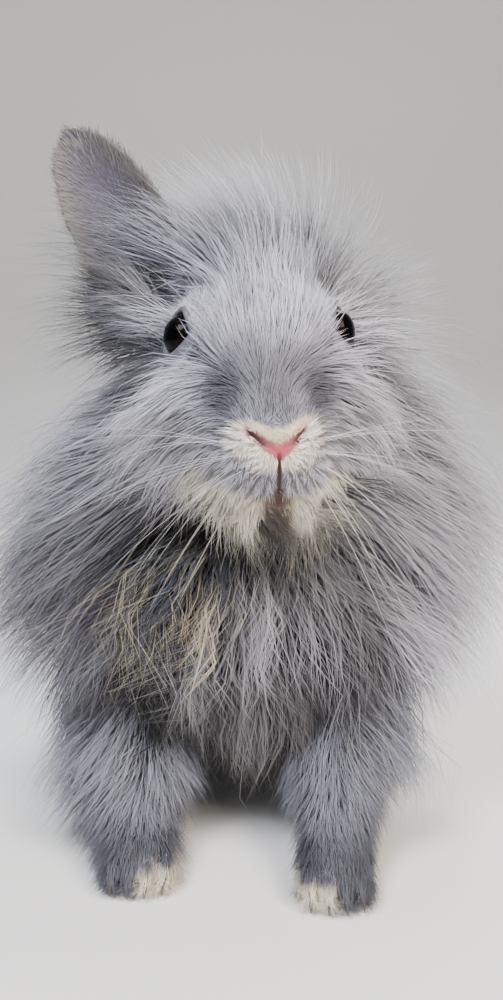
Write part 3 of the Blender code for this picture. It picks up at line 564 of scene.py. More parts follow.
# Where (distance out from the middle, y, z), which way the hair runs (out, back, up), length and lift.
coatLie = [
    ((0, -20, 163), (0.0, 0.7, 0.7), 6, 11), ((0, 5, 177), (0.0, 0.6, 0.8), 9, 16),
    ((16, -8, 140), (0.8, 0.6, -0.15), 9, 17), ((14, -8, 130), (0.7, 0.45, -0.45), 10, 20),
    ((5, 2, 114), (0.25, 0.0, -1.0), 16, 26), ((14, 2, 113), (0.55, -0.15, -0.85), 28, 34),
    ((0, 24, 178), (0.0, 0.3, 0.95), 22, 40), ((22, 27, 176), (0.8, 0.2, 0.55), 28, 46),
    ((0, 45, 187), (0.0, 0.1, 1.0), 44, 66), ((16, 48, 186), (0.35, 0.1, 0.95), 48, 70),
    ((27, 54, 178), (0.7, 0.1, 0.6), 56, 66), ((30, 50, 172), (0.9, 0.2, 0.35), 56, 60),
    ((31, 46, 160), (0.6, 0.8, -0.05), 12, 20), ((31, 36, 158), (0.6, 0.8, -0.1), 10, 18),
    ((31, 42, 150), (0.85, 0.3, -0.3), 54, 54),
    ((29, 22, 146), (0.85, 0.4, -0.35), 30, 44), ((28, 26, 130), (0.8, 0.0, -0.6), 60, 50),
    ((28, 52, 138), (0.9, 0.1, -0.3), 90, 62), ((19, 6, 122), (0.55, 0.2, -0.8), 24, 34),
    ((24, 10, 134), (0.8, 0.25, -0.5), 28, 40), ((0, 40, 114), (0.0, 0.0, -1.0), 24, 30),
    ((0, 74, 180), (0.0, 0.9, 0.45), 40, 44), ((30, 68, 174), (0.7, 0.2, 0.7), 60, 58),
    ((0, 90, 164), (0.0, 1.0, 0.0), 40, 38), ((22, 92, 156), (0.5, 0.8, 0.1), 48, 46),
    ((44, 76, 158), (0.9, 0.1, 0.45), 76, 64), ((34, 76, 156), (0.9, 0.3, 0.1), 76, 64),
    ((38, 74, 126), (0.9, 0.1, -0.4), 86, 60), ((0, 104, 144), (0.0, 1.0, -0.1), 38, 32),
    ((24, 108, 134), (0.4, 0.85, -0.3), 38, 36),
    ((0, 34, 100), (0.0, -0.3, -1.0), 30, 38), ((0, 32, 74), (0.0, 0.0, -1.0), 34, 34),
    ((28, 42, 84), (0.3, -0.1, -0.95), 42, 38), ((40, 50, 60), (0.4, 0.0, -0.9), 44, 38),
    ((0, 54, 46), (0.0, 0.1, -1.0), 30, 24), ((0, 130, 34), (0.0, 0.9, -0.4), 17, 18),
    ((50, 74, 92), (0.8, 0.1, -0.6), 70, 54), ((54, 80, 62), (0.65, 0.1, -0.75), 50, 44),
    ((0, 130, 128), (0.0, 1.0, -0.05), 26, 24), ((32, 130, 116), (0.3, 0.9, -0.4), 28, 24),
    ((48, 118, 84), (0.3, 0.5, -0.8), 32, 26), ((42, 112, 52), (0.3, 0.3, -0.9), 28, 24),
    ((0, 196, 96), (0.0, 0.7, -0.5), 24, 28), ((36, 182, 80), (0.4, 0.6, -0.7), 26, 26),
    ((0, 214, 82), (0.0, 0.5, 0.75), 20, 52), ((0, 202, 60), (0.0, 0.4, -0.9), 24, 24),
    ((24, 200, 60), (0.3, 0.4, -0.85), 26, 26), ((0, 190, 38), (0.0, 0.3, -0.95), 20, 22),
    ((40, 64, 52), (0.5, 0.2, -0.85), 30, 36), ((38, 46, 28), (0.4, 0.0, -0.9), 22, 40),
    ((34, 34, 18), (0.25, -0.3, -0.9), 16, 38),
    ((34, 22, 14), (0.0, -0.8, -0.5), 12, 34), ((34, 12, 8), (0.0, -1.0, -0.2), 8, 16),
    ((66, 146, 60), (0.25, 0.5, -0.85), 24, 24), ((44, 120, 14), (0.0, -1.0, -0.1), 9, 18),
]
lieReach = 14.0      # how far, in mm, an entry reaches
# places where the hair is longer or shorter than the table says, by this share
lengthBumps = [
    ((-20, 54, 184), (16, 22, 12), 0.5),       # the tuft beside the raised ear
    ((36, 60, 172), (20, 30, 16), -0.3),       # by the laid ear
]
farFoot = ((-50, 42, 26), (15, 24, 26), 0.7)   # the far side of the viewer's left forefoot


def readLie(points):
    # each entry weighs as a bell of its distance, with a long thin tail so that no place is left bare
    x, y, z = points.T
    middle = np.where((z > 110) & (y < 70), headAt[0], -5.0 + 5.0 * smoothStep(90, 50, y))
    side = np.where(x >= middle, 1.0, -1.0)
    seen = np.stack([np.abs(x - middle), y, z], -1)
    place = np.array([entry[0] for entry in coatLie], float)
    way = unit(np.array([entry[1] for entry in coatLie], float))
    size = np.array([entry[2:] for entry in coatLie], float)
    away = np.linalg.norm(seen[:, None] - place[None], axis=-1) / lieReach
    weight = np.exp(-away ** 2) + 1e-6 / (1e-3 + away ** 4)
    weight /= weight.sum(1, keepdims=True)
    run = weight @ way
    run[:, 0] *= side
    length, lift = (weight @ size).T
    # the crown is swept over to the raised ear, longer beside it, and shorter by the laid ear
    run[:, 0] -= 0.55 * smoothStep(168, 184, z) * smoothStep(24, 44, y) * smoothStep(84, 64, y)
    run[:, 0] -= 0.6 * bump(points, (-16, 22, 176), (14, 14, 12))
    for at, radii, share in lengthBumps:
        length = length * (1 + share * bump(points, at, radii))
    length = length * np.where(points[:, 0] > 0, 1.05, 1.0)
    length = length * (1 + farFoot[2] * bump(points, *farFoot[:2]))
    return unit(run), length, np.radians(lift)


def skinArrays():
    # the skin's points in the rabbit's frame, and its triangles
    mesh = skin.data
    mesh.calc_loop_triangles()
    points = np.empty(len(mesh.vertices) * 3, np.float32)
    mesh.vertices.foreach_get("co", points)
    faces = np.empty(len(mesh.loop_triangles) * 3, np.int32)
    mesh.loop_triangles.foreach_get("vertices", faces)
    return points.reshape(-1, 3).astype(float) / mm + frameShift, faces.reshape(-1, 3)


skinPoints, skinFaces = skinArrays()
corners = skinPoints[skinFaces]
crossed = np.cross(corners[:, 1] - corners[:, 0], corners[:, 2] - corners[:, 0])
faceArea = np.linalg.norm(crossed, axis=1) / 2
faceNormal = unit(crossed)
faceMiddle = corners.mean(1)

# The unwrap: each form of the body is unrolled round its own length into a tile of its own.
tiles = {
    "torso": (0.0, 0.0, 0.5, 0.42), "neck": (0.5, 0.0, 0.5, 0.3), "head": (0.0, 0.42, 0.5, 0.42),
    "fore_right": (0.5, 0.3, 0.25, 0.2), "fore_left": (0.75, 0.3, 0.25, 0.2),
    "hindFoot_right": (0.5, 0.5, 0.25, 0.12), "hindFoot_left": (0.75, 0.5, 0.25, 0.12),
    "thigh_right": (0.5, 0.62, 0.25, 0.2), "thigh_left": (0.75, 0.62, 0.25, 0.2),
    "tail": (0.0, 0.84, 0.2, 0.14),
    "ear_right": (0.2, 0.84, 0.4, 0.15), "ear_left": (0.6, 0.84, 0.4, 0.15),
}
tileNames = list(tiles)


def labelFaces():
    # the form and the unrolled place of each face of the skin, from the nearest point of the forms
    count = sum(grid[0].shape[0] * grid[0].shape[1] for _, grid in bodyGrids)
    tree = KDTree(count)
    label = np.empty(count, int)
    place = np.empty((count, 2))
    start = 0
    for name, (points, _) in bodyGrids:
        rings, sides = points.shape[:2]
        v, u = np.meshgrid(np.linspace(0, 1, rings), np.linspace(0, 1, sides), indexing="ij")
        flat = points.reshape(-1, 3)
        for k, point in enumerate(flat):
            tree.insert(point, start + k)
        label[start:start + len(flat)] = tileNames.index(name)
        place[start:start + len(flat)] = np.stack([u.ravel(), v.ravel()], -1)
        start += len(flat)
    tree.balance()
    near = np.array([tree.find(point)[1] for point in faceMiddle])
    return label[near], place[near]


faceLabel, facePlace = labelFaces()
earLabels = [tileNames.index("ear_right"), tileNames.index("ear_left")]
isEar = np.isin(faceLabel, earLabels)
print("skin unrolled")


def blurNormals(cell=7.0):
    # the normals averaged over cells of the room, so that the coat flows over the folds of the flesh
    keys = np.floor(faceMiddle / cell).astype(int)
    keys -= keys.min(0) - 2
    shape = keys.max(0) + 3
    total = np.zeros((*shape, 3))
    np.add.at(total, tuple(keys[~isEar].T), (faceNormal * faceArea[:, None])[~isEar])
    for axis in range(3):
        total = total + 0.8 * (np.roll(total, 1, axis) + np.roll(total, -1, axis))
    return unit(total[tuple(keys.T)] + 1e-6 * faceNormal)


soft = blurNormals()
isFoot = (faceMiddle[:, 2] < 24) & ~isEar
nearEye = np.full(len(faceMiddle), 99.0)
for side in sideSign:
    nearEye = np.minimum(nearEye, np.linalg.norm(faceMiddle - eyeMiddle[side], axis=1))
# how much of its own normal a face keeps
keepOwn = np.where(isFoot, 0.7, 0.25 + 0.5 * smoothStep(14, 9, nearEye))
keepOwn = np.where(isEar, 1.0, keepOwn)[:, None]
coatNormal = unit(soft * (1 - keepOwn) + faceNormal * keepOwn)
faceRun, faceLength, faceLift = readLie(faceMiddle)
inHead = toHead(faceMiddle)


def earPlace(points, side):
    # share of the ear's length, share of its half width to the outer edge, and its three ways
    base, tip, axis, cup, across = earWays(side)
    across = across if across[0] * sideSign[side] > 0 else -across
    rows = np.array(earShape["rows"], float)
    u = (points - base) @ axis / np.linalg.norm(tip - base)
    v = (points - base) @ across / np.interp(u, rows[:, 0], rows[:, 1])
    return u, v, axis, across, cup


# Lengths and distances are in mm, lifts in degrees; two numbers are where a change starts and ends.
earComb = {"length": 3.2, "rimMore": 2.2, "footMore": 30, "lift": 15, "footLift": 32}
noseComb = {"at": (0, -46, -31), "from": (0, -37, -31), "reach": (27, 11), "length": 2.0,
            "growth": 1.2, "fringe": 0.8, "lift": 18, "liftWithin": 16}
eyeComb = {"reach": 20, "full": 10, "length": 1.5, "growth": 0.4, "browMore": 12,
           "rimShorter": 0.35, "veilLength": 7.0, "veilLift": 30}
bareSkin = {"eye": 9.9, "almond": 1.08, "ball": 8.6, "sole": 1.5, "behind": -38,
            "nose": (1.7, 0.16, 8.2), "split": (0.45, -32, -45), "mouth": (3.2, 2.0, -45.2)}


def turned(run, other, share):
    # the way that the hair runs gives way to another by a share for each face
    return unit(run * (1 - share[:, None]) + other * share[:, None])


def combEars(run, length, lift):
    # short hair parts along the cup's middle and runs out to both edges; the ear's foot is woolly
    for side in sideSign:
        mask = faceLabel == tileNames.index("ear_" + side)
        u, v, axis, across, cup = earPlace(faceMiddle[mask], side)
        inside = (faceNormal[mask] @ cup > 0.1)[:, None]
        toEdge = unit(axis * 0.75 + across * np.clip(v, -1, 1)[:, None])
        sideways = unit(across * 0.9 + axis * 0.55)
        run[mask] = turned(np.where(inside, toEdge, axis), sideways, smoothStep(0.52, 0.2, u))
        rim = np.clip(np.abs(v), 0, 1) ** 3
        length[mask] = (earComb["length"] + earComb["rimMore"] * rim
                        + earComb["footMore"] * smoothStep(0.5, 0.1, u))
        lift[mask] = np.radians(earComb["lift"] + earComb["footLift"] * smoothStep(0.5, 0.15, u))


def combFromNose(run, length, lift):
    # hair streams away from the nose and grows longer with the distance from it
    away = np.linalg.norm(inHead - np.array(noseComb["at"]), axis=1)
    stream = unit(inHead - np.array(noseComb["from"])) @ headTurn.T
    run = turned(run, stream, smoothStep(*noseComb["reach"], away) * onHead)
    byNose = noseComb["length"] + noseComb["growth"] * (away / 10) ** 2.2
    fringe = smoothStep(-42, -48, inHead[:, 2]) * smoothStep(3, 9, np.abs(inHead[:, 0]))
    byNose = byNose * (1 + noseComb["fringe"] * fringe)      # the chin's fringe hangs lower
    length = np.where(onHead, np.minimum(length, byNose), length)
    close = onHead & (away < noseComb["liftWithin"])
    return run, length, np.where(close, np.radians(noseComb["lift"]), lift)


def combRoundEye(side, run, length, lift):
    # short hair runs out from the lids, and long hair stands above them as a brow
    spot, look, level, tall = eyeWays(side)
    away = inHead - spot
    distance = np.linalg.norm(away, axis=1)
    near = (distance < eyeComb["reach"]) & onHead
    lidRun = unit(away - look * (away @ look)[:, None] + np.array([0, 5.0, 1.0])) @ headTurn.T
    run = turned(run, lidRun, smoothStep(eyeComb["reach"], eyeComb["full"], distance) * near)
    byEye = eyeComb["length"] + eyeComb["growth"] * np.maximum(0, distance - 9.4) ** 1.35
    byEye = byEye + eyeComb["browMore"] * smoothStep(11, 16, away @ tall)
    length = np.where(near, np.minimum(length, byEye), length)
    forward = away @ level * -sideSign[side] / distance
    # a rim of short hair follows the lids on the side of the nose
    rim = smoothStep(0.1, 0.5, forward) * smoothStep(15, 11.5, distance) * near
    rimRun = (tall * np.sign(away @ tall + 2)[:, None] + 0.35 * unit(away)) @ headTurn.T
    run = turned(run, unit(rimRun), rim)
    length = length * (1 - eyeComb["rimShorter"] * rim)
    # brow hair hangs as a veil over the outer half of the eye
    veil = smoothStep(0.15, 0.5, away @ tall / distance) * smoothStep(0.25, -0.15, forward)
    veil = veil * smoothStep(13.5, 11.5, distance) * near
    run = turned(run, unit(np.array([sideSign[side] * 0.35, 0.25, -0.9])), veil)
    length = length + (eyeComb["veilLength"] - length) * veil * (length < eyeComb["veilLength"])
    return run, length, np.where(veil > 0.3, np.radians(eyeComb["veilLift"]), lift)


def findBare():
    # the nose's V, the split lip, the mouth's middle, the eyeballs' openings and the soles
    inEye = np.zeros(len(faceMiddle), bool)
    for side in sideSign:
        spot, look, level, tall = eyeWays(side)
        away = inHead - spot
        distance = np.linalg.norm(away, axis=1)
        wide = almondShare(away, level, tall, sideSign[side])
        inEye |= (distance < bareSkin["eye"]) & (wide < bareSkin["almond"]) & (away @ look > 0)
        inEye |= distance < bareSkin["ball"]
    side, height = np.abs(inHead[:, 0]), inHead[:, 2]
    thick, thinner, end = bareSkin["nose"]
    inNose = (np.abs(height - noseLine(side)) < thick - thinner * side) & (side < end)
    half, top, bottom = bareSkin["split"]
    inSplit = (side < half) & (height < top) & (height > bottom)
    wide, tall, middle = bareSkin["mouth"]
    inMouth = np.hypot(side / wide, (height - middle) / tall) < 1
    onFront = onHead & (inHead[:, 1] < bareSkin["behind"])
    return inEye | (faceMiddle[:, 2] < bareSkin["sole"]) | ((inNose | inSplit | inMouth) & onFront)


combEars(faceRun, faceLength, faceLift)
onHead = faceLabel == tileNames.index("head")
faceRun, faceLength, faceLift = combFromNose(faceRun, faceLength, faceLift)
for side in sideSign:
    faceRun, faceLength, faceLift = combRoundEye(side, faceRun, faceLength, faceLift)
bare = findBare()
print("coat combed")

# Sizes in millimetres: the head's marks are in the head's own frame, the others in the rabbit's.
marks = {
    "nosePatch": {"at": -29.0, "half": (14.0, 7.8)},
    "chin": {"half": 25.0, "from": -44.0, "rise": 0.26},
    "patches": {"at": (12.5, -26.0, -15.5), "radii": (5.5, 13, 7.5), "depth": 2.6},
    "tangle": {"at": (-25, 30, 84), "radii": (18, 20, 15)},
    "bridge": {"at": (3, -33, -11), "radii": (12, 16, 12)},
    "brow": {"at": (14, -2, 20), "radii": (14, 18, 12)},
    "underChinShadow": {"at": (-2, 40, 102), "radii": (34, 20, 10)},
    # painted shade in the cleft behind the eye and the fold that leads to it: where, over what radii,
    # how dark
    "folds": [((-38, 48, 163), (9, 22, 8), 2.4), ((-29, 16, 165), (8, 12, 2.8), 2.0)],
    # painted light and painted shade on the coat: where, over what radii, by how much; the darker
    # places round the raised ear's foot, on the low chest and down the viewer's left side are painted
    # shade, the lighter ones on the forehead by the raised ear and on the cheek below it painted light
    "paintedLightAndShade": [
        ((0, 36, 74), (42, 22, 7), 0.12), ((30, 45, 68), (26, 26, 18), -0.44),
        ((-22, 46, 182), (9, 14, 9), 0.5), ((-60, 66, 176), (22, 30, 20), -0.68),
        ((-50, 45, 48), (18, 22, 12), -0.3), ((-36, 24, 119), (13, 20, 10), 0.85),
        ((-62, 45, 90), (20, 26, 14), -0.22), ((-62, 60, 74), (26, 30, 24), -0.3),
    ],
    # how much lighter or darker each part of the coat is: the darker crown, ankles, outer legs, left
    # flank and the place under the chin are painted shade, the lighter cheeks painted light, and the
    # darker chest, low chest, belly and legs partly the coat's own darker grey and partly painted shade
    "shares": {"brow": 0.05, "bridge": -0.6, "crown": -0.3, "bib": -0.46, "low": -0.3,
               "underChinShadow": -0.85, "under": -0.3, "leg": -0.52, "ankleShade": -0.22, "outerLegShade": -0.02,
               "leftFlankShade": -0.32, "rump": -0.15, "face": -0.12, "muzzle": -0.45, "ear": -0.5,
               "bothCheeksLight": 0.4, "cheek": 0.2, "mottle": 0.1},
}


def markingsAndShade(points, label):
    # how much of each colour a place carries, and how light its grey is, with painted light and painted
    # shade in that lightness and in the dark mark
    x, y, z = toHead(points).T
    side = np.abs(x)
    onHead = label == tileNames.index("head")
    patch = marks["nosePatch"]
    oval = np.hypot(x / patch["half"][0], (z - patch["at"]) / patch["half"][1])
    oval = oval + 0.10 * np.cos(5 * np.arctan2(z - patch["at"], x) + 1.0)
    cream = smoothStep(1.15, 0.85, oval) * smoothStep(-31, -37, y)
    # grey runs down the middle to the nose
    cream *= smoothStep(1.2, -0.8, z - (-26.2 + 0.45 * side))
    above = smoothStep(-0.5, 1.5, z - noseLine(side)) * cream
    turn = np.arctan2(z + 31, side)
    follicle = smoothStep(0.3, 0.85, np.cos(26 * turn + 1.2 * wander(points, 9, 41))) * (1 - above)
    follicle *= smoothStep(4.5, 7, np.hypot(side, z + 31))
    follicle *= smoothStep(-28, -30, z - 0.35 * side) * onHead
    chin = smoothStep(marks["chin"]["half"] + 3, marks["chin"]["half"] - 3, side)
    edge = marks["chin"]["from"] + marks["chin"]["rise"] * np.maximum(side - 6, 0)
    chin = chin * smoothStep(1, -2, z - edge) * smoothStep(2, -8, y)
    lipStain = smoothStep(5.5, 3.0, side) * smoothStep(-43, -46, z) * smoothStep(-8, -16, y)
    around = np.stack([side, y, z], -1)
    spot = marks["patches"]
    dark = spot["depth"] * bump(around, spot["at"], spot["radii"])
    dark = dark + 0.4 * bump(around, (14, -16, -6), (7, 9, 8))
    dark = dark + 0.7 * bump(np.stack([x, y, z], -1), (11, -6, 8), (3.5, 8, 2.6))
    # painted shade in the cleft behind each eye, carried by the dark mark along with the coat's darker
    # patches above
    dark = dark * onHead + 0.9 * bump(around, (31, 12, -6), (8, 14, 4.5))
    for at, radii, depth in marks["folds"]:
        dark = dark + depth * bump(points, at, radii)
    brow = bump(around, marks["brow"]["at"], marks["brow"]["radii"]) * onHead
    across, away, height = points.T
    bib = smoothStep(70, 55, away) * smoothStep(120, 108, height)
    bib = bib * smoothStep(50, 36, np.abs(across + 1)) * ~onHead
    # painted shadow under the chin
    underChinShadow = bump(points, marks["underChinShadow"]["at"], marks["underChinShadow"]["radii"]) * ~onHead
    # the low chest and the belly beneath are darker: partly their own darker grey, partly painted shade
    low = smoothStep(70, 56, height) * bib
    under = smoothStep(64, 30, height) * smoothStep(60, 84, away)
    leg = np.zeros(len(points))
    toe = np.zeros(len(points))
    for name in sideSign:
        fore = label == tileNames.index("fore_" + name)
        leg = np.maximum(leg, fore * smoothStep(62, 48, height))
        inner = (points[:, 0] - forelegShape["x"][name]) * -sideSign[name]
        front = forelegShape["toeFront"] - forelegShape["forward"][name]
        creamy = smoothStep(front + 12, front + 8, away) * smoothStep(0.5, 3.5, inner)
        toe = np.where(fore, creamy * smoothStep(8.5, 6.0, height), toe)
        hind = label == tileNames.index("hindFoot_" + name)
        toe = np.where(hind, 0.8 * smoothStep(112, 104, away), toe)
    tangle = bump(points, marks["tangle"]["at"], marks["tangle"]["radii"])
    bridge = bump(around, marks["bridge"]["at"], marks["bridge"]["radii"]) * onHead
    bib, low = bib * (1 - leg), low * (1 - leg)
    places = {
        "brow": brow, "bridge": bridge * (1 - cream), "bib": bib, "low": low,
        # painted shade on the crown, darkened where the light from above falls most
        "crown": smoothStep(176, 190, height) * smoothStep(22, 40, away),
        "underChinShadow": underChinShadow, "under": under, "leg": leg,
        # painted shade low on the legs and on their outer side
        "ankleShade": leg * smoothStep(22, 12, height), "outerLegShade": leg * smoothStep(0, 20, across),
        # painted shade down the viewer's left flank
        "leftFlankShade": smoothStep(150, 90, height) * smoothStep(-10, -50, across)
                     * smoothStep(110, 80, away) * (1 - leg),
        "rump": smoothStep(120, 170, away),
        "face": onHead * (1 - cream) * smoothStep(-14, -6, z),
        "muzzle": bump(around, (0, -43, -20), (9, 9, 7)) * (1 - cream),
        "ear": np.isin(label, earLabels),
        # painted light on the cheeks, both at the sides and in front
        "bothCheeksLight": bump(np.stack([np.abs(across), away, height], -1),
                          (48, 34, 132), (15, 26, 12)),
        "cheek": bump(around, (30, 4, -20), (14, 22, 13)),
        "mottle": onHead * wander(points, 8, 43) * smoothStep(-12, 0, z),
    }
    tone = 1 + sum(marks["shares"][name] * place for name, place in places.items())
    tone = tone + sum(share * bump(points, at, radii) for at, radii, share in marks["paintedLightAndShade"])
    return {"cream": cream * onHead, "above": above * onHead, "follicle": follicle,
            "chin": chin * onHead, "lip": lipStain * onHead, "toe": toe, "tangle": tangle,
            "dark": dark, "tone": tone, "cool": leg + 0.4 * brow,
            "warm": np.clip(low + under, 0, 1), "bib": bib}


def blended(colour, share, other):
    # one colour gives way to another by a share for each point
    return colour * (1 - share[:, None]) + other * share[:, None]


def paintSkin():
    # the skin shows as dense under wool, with the bare nose, lips, lids and cups of the ears
    label = np.empty(len(skinPoints), int)
    label[skinFaces.ravel()] = np.repeat(faceLabel, 3)
    mark = markingsAndShade(skinPoints, label)
    # the skin's grey takes the coat's tone, painted light and shade included
    colour = coatColours["root"] * 0.8 * mark["tone"][:, None]
    shades = {"cream": "creamRoot", "chin": "tan", "toe": "creamRoot", "tangle": "tan"}
    for key, shade in shades.items():
        weight = np.clip(mark[key], 0, 1) * (0.5 if key == "tangle" else 0.9)
        colour = blended(colour, weight, coatColours[shade])
    # the dark mark darkens the skin too, the painted shade of the clefts by the eyes included
    colour = colour * (1 - 0.6 * np.clip(mark["dark"], 0, 1))[:, None]
    local = toHead(skinPoints)
    onHead = (label == tileNames.index("head")) & (local[:, 1] < -36)
    side = np.abs(local[:, 0])
    line = np.abs(local[:, 2] - noseLine(side))
    pink = smoothStep(3.2, 1.9, line + 0.12 * side) * smoothStep(9.5, 7.5, side) * onHead
    colour = blended(colour, pink, coatColours["nose"])
    rosy = np.exp(-((local[:, 0] / 2.6) ** 2 + ((local[:, 2] + 31.0) / 2.2) ** 2)) * onHead
    colour = blended(colour, rosy, coatColours["rosy"])
    # painted shade in the nostril slits along the nose's V
    groove = np.exp(-((local[:, 2] - noseLine(side)) / 0.75) ** 2) * smoothStep(9, 7.5, side)
    groove *= smoothStep(2.5, 6, side) * onHead
    colour = colour * (1 - 0.85 * groove)[:, None]
    # the split lip and the mouth's line are painted a dark red-brown: painted shade in their clefts
    split = smoothStep(0.9, 0.35, side) * smoothStep(-44, -42.5, local[:, 2])
    split = split * smoothStep(-31, -33, local[:, 2])
    mouth = np.exp(-((side / 3.6) ** 2 + ((local[:, 2] + 45.6) / 3.2) ** 2) ** 2)
    lips = np.clip(np.maximum(split, mouth), 0, 1) * onHead
    colour = blended(colour, lips, coatColours["mouth"])
    for name in sideSign:
        lid = smoothStep(10.2, 9.2, np.linalg.norm(skinPoints - eyeMiddle[name], axis=1))
        colour = blended(colour, lid, coatColours["lid"])
        ear = label == tileNames.index("ear_" + name)
        v = earPlace(skinPoints[ear], name)[1]
        rim = np.clip(np.abs(v), 0, 1)[:, None] ** 2
        colour[ear] = coatColours["earIn"] * 0.6 * (1 - rim) + coatColours["earRim"] * 0.6 * rim
    setColours(skin, "skinTint", np.clip(colour, 0, 1))


paintSkin()
# under wool and bare skin: matt, with a fine grain that breaks up the light
skinMaterial, skinTree, skinShader = attributeMaterial("under wool and bare skin", "skinTint",
                                                       0.62, 0.3)
grain = addNode(skinTree, "ShaderNodeTexNoise", Scale=900.0, Detail=4.0)
coords = addNode(skinTree, "ShaderNodeTexCoord")
skinTree.links.new(coords.outputs["Object"], grain.inputs["Vector"])
relief = addNode(skinTree, "ShaderNodeBump", [("Height", grain, "Fac")], Strength=0.35, Distance=0.0006)
skinTree.links.new(relief.outputs["Normal"], skinShader.inputs["Normal"])
skin.data.materials.clear()
skin.data.materials.append(skinMaterial)
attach(skin, "root")
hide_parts("head", "neck", "torso", "tail", "ear_right", "ear_left",
            "foreleg_right", "foreleg_left", "hindleg_right", "hindleg_left")
print("skin painted")

# rabbit hair: keratin with a dull gloss along it and a faint sheen of down
hairMaterial = attributeMaterial("blue-grey rabbit hair", "hairTint", 0.55, 0.3, 0.1)[0]
skinRays = BVHTree.FromPolygons(skinPoints.tolist(), skinFaces.tolist())

# Hair of a length in mm has so many roots for each square millimetre and is so wide, read between.
coat = {
    "lengths": (2, 6, 10, 20, 40, 60),
    "roots": (4.8, 3.2, 1.22, 0.72, 0.51, 0.52),
    "widths": (0.22, 0.24, 0.29, 0.35, 0.40, 0.42),
    "earRoots": 1.12,
    "earWidth": 0.3,
    "underShare": 0.45,       # of so many more hairs that are shorter, wider under wool
    "strayShare": 0.05,
    "curlyBib": 0.065,        # how far the wool of the chest waves, as a share of its length
    "shares": {"under": (0.55, 0.92), "over": (0.82, 1.1), "stray": (0.95, 1.18)},
    # read at a hair's length: how loosely it leans, how far it waves, how tight its clump is
    "loose": ((3, 10, 40), (0.5, 0.8, 1.0)),
    "waves": ((3, 20, 60), (0.02, 0.04, 0.045)),
    "tight": ((3, 8, 20, 60), (0.10, 0.17, 0.22, 0.24)),
    "bibTight": 0.36,
    "clumps": ((4, 20, 50), (1.5, 2.6, 3.6)),      # their spacing in mm
    "locks": 2.8,             # a lock's spacing in clumps
    "underWidths": ((6, 30), (1.6, 3.0)),
    "sink": 0.4,              # how deep a root stands in the skin
    "overEye": 8.8,           # how far hairs stay from an eye's middle, in mm
    "floorGap": 0.6,
    "freeReach": 84,          # how far out hairs run freely, and the soft stop beyond it
    "softReach": 18,
}
trianglesPerPiece = 190000
tuftPatch = 0.003             # the side of a tuft's patch in the unwrap


def scatterRoots(density):
    # places drawn over the faces, as many as area times density asks
    wanted = faceArea * density * ~bare
    count = int(wanted.sum())
    face = dice.choice(len(faceArea), count, p=wanted / wanted.sum())
    a, b = dice.random(count), dice.random(count)
    flip = a + b > 1
    a[flip], b[flip] = 1 - a[flip], 1 - b[flip]
    corner = corners[face]
    spot = corner[:, 0] + (corner[:, 1] - corner[:, 0]) * a[:, None]
    return spot + (corner[:, 2] - corner[:, 0]) * b[:, None], face


def hairPaths(spot, face, steps, share, lean, wave, droop):
    # a hair leaves the skin at its lift and lies down along its length, sagging and waving a little
    normal, run = coatNormal[face], faceRun[face]
    length = faceLength[face] * share
    lift = faceLift[face] + lean[:, 0]
    flat = unit(run - normal * (run * normal).sum(1, keepdims=True))
    aside = np.cross(normal, flat)
    flat = unit(flat + aside * lean[:, 1:2])
    longHair = smoothStep(8, 34, length)[:, None]
    point = spot - normal * coat["sink"]
    path = [point]
    for k in range(steps):
        s = (k + 0.5) / steps
        stand = np.sin(lift)[:, None] * (1 - 0.55 * s)
        heading = flat * np.cos(lift)[:, None] + normal * stand
        heading = unit(heading + np.array([0, 0, -1.0]) * droop[:, None] * longHair * s)
        point = point + heading * (length / steps)[:, None]
        path.append(point)
    path = np.stack(path, 1)
    along = np.linspace(0, 1, steps + 1)[None, :, None]
    # neighbours wave together
    phase = np.stack([4 * wander(spot, 13, 31), 4 * wander(spot, 13, 32)], 1)
    phase = (phase + dice.uniform(0, 1.3, (len(spot), 2)))[..., None, None]
    size = (wave * length)[:, None, None] * along
    path = path + aside[:, None] * size * np.sin(phase[:, 0] + along * 9)
    return path + normal[:, None] * size * 0.7 * np.cos(phase[:, 1] + along * 8)


def gather(path, spot, face, strength, spacing):
    # hairs lean towards a hair at the middle of their clump, most of all at their tips
    roots = np.interp(faceLength[face], coat["lengths"], coat["roots"])
    guide = np.flatnonzero(dice.random(len(spot)) < 1 / (roots * spacing ** 2))
    if len(guide) < 2:
        return path, np.zeros(len(spot), int)
    tree = KDTree(len(guide))
    for k, point in enumerate(spot[guide].tolist()):
        tree.insert(point, k)
    tree.balance()
    mine = guide[np.array([tree.find(point)[1] for point in spot.tolist()])]
    along = np.linspace(0, 1, path.shape[1])[None, :, None] ** 1.4
    close = np.linalg.norm(spot - spot[mine], axis=1) < 2.2 * spacing
    close &= (faceRun[face] * faceRun[face[mine]]).sum(1) > 0.3
    pull = (path[mine] - path) * along * (strength * close)[:, None, None]
    return path + pull, mine


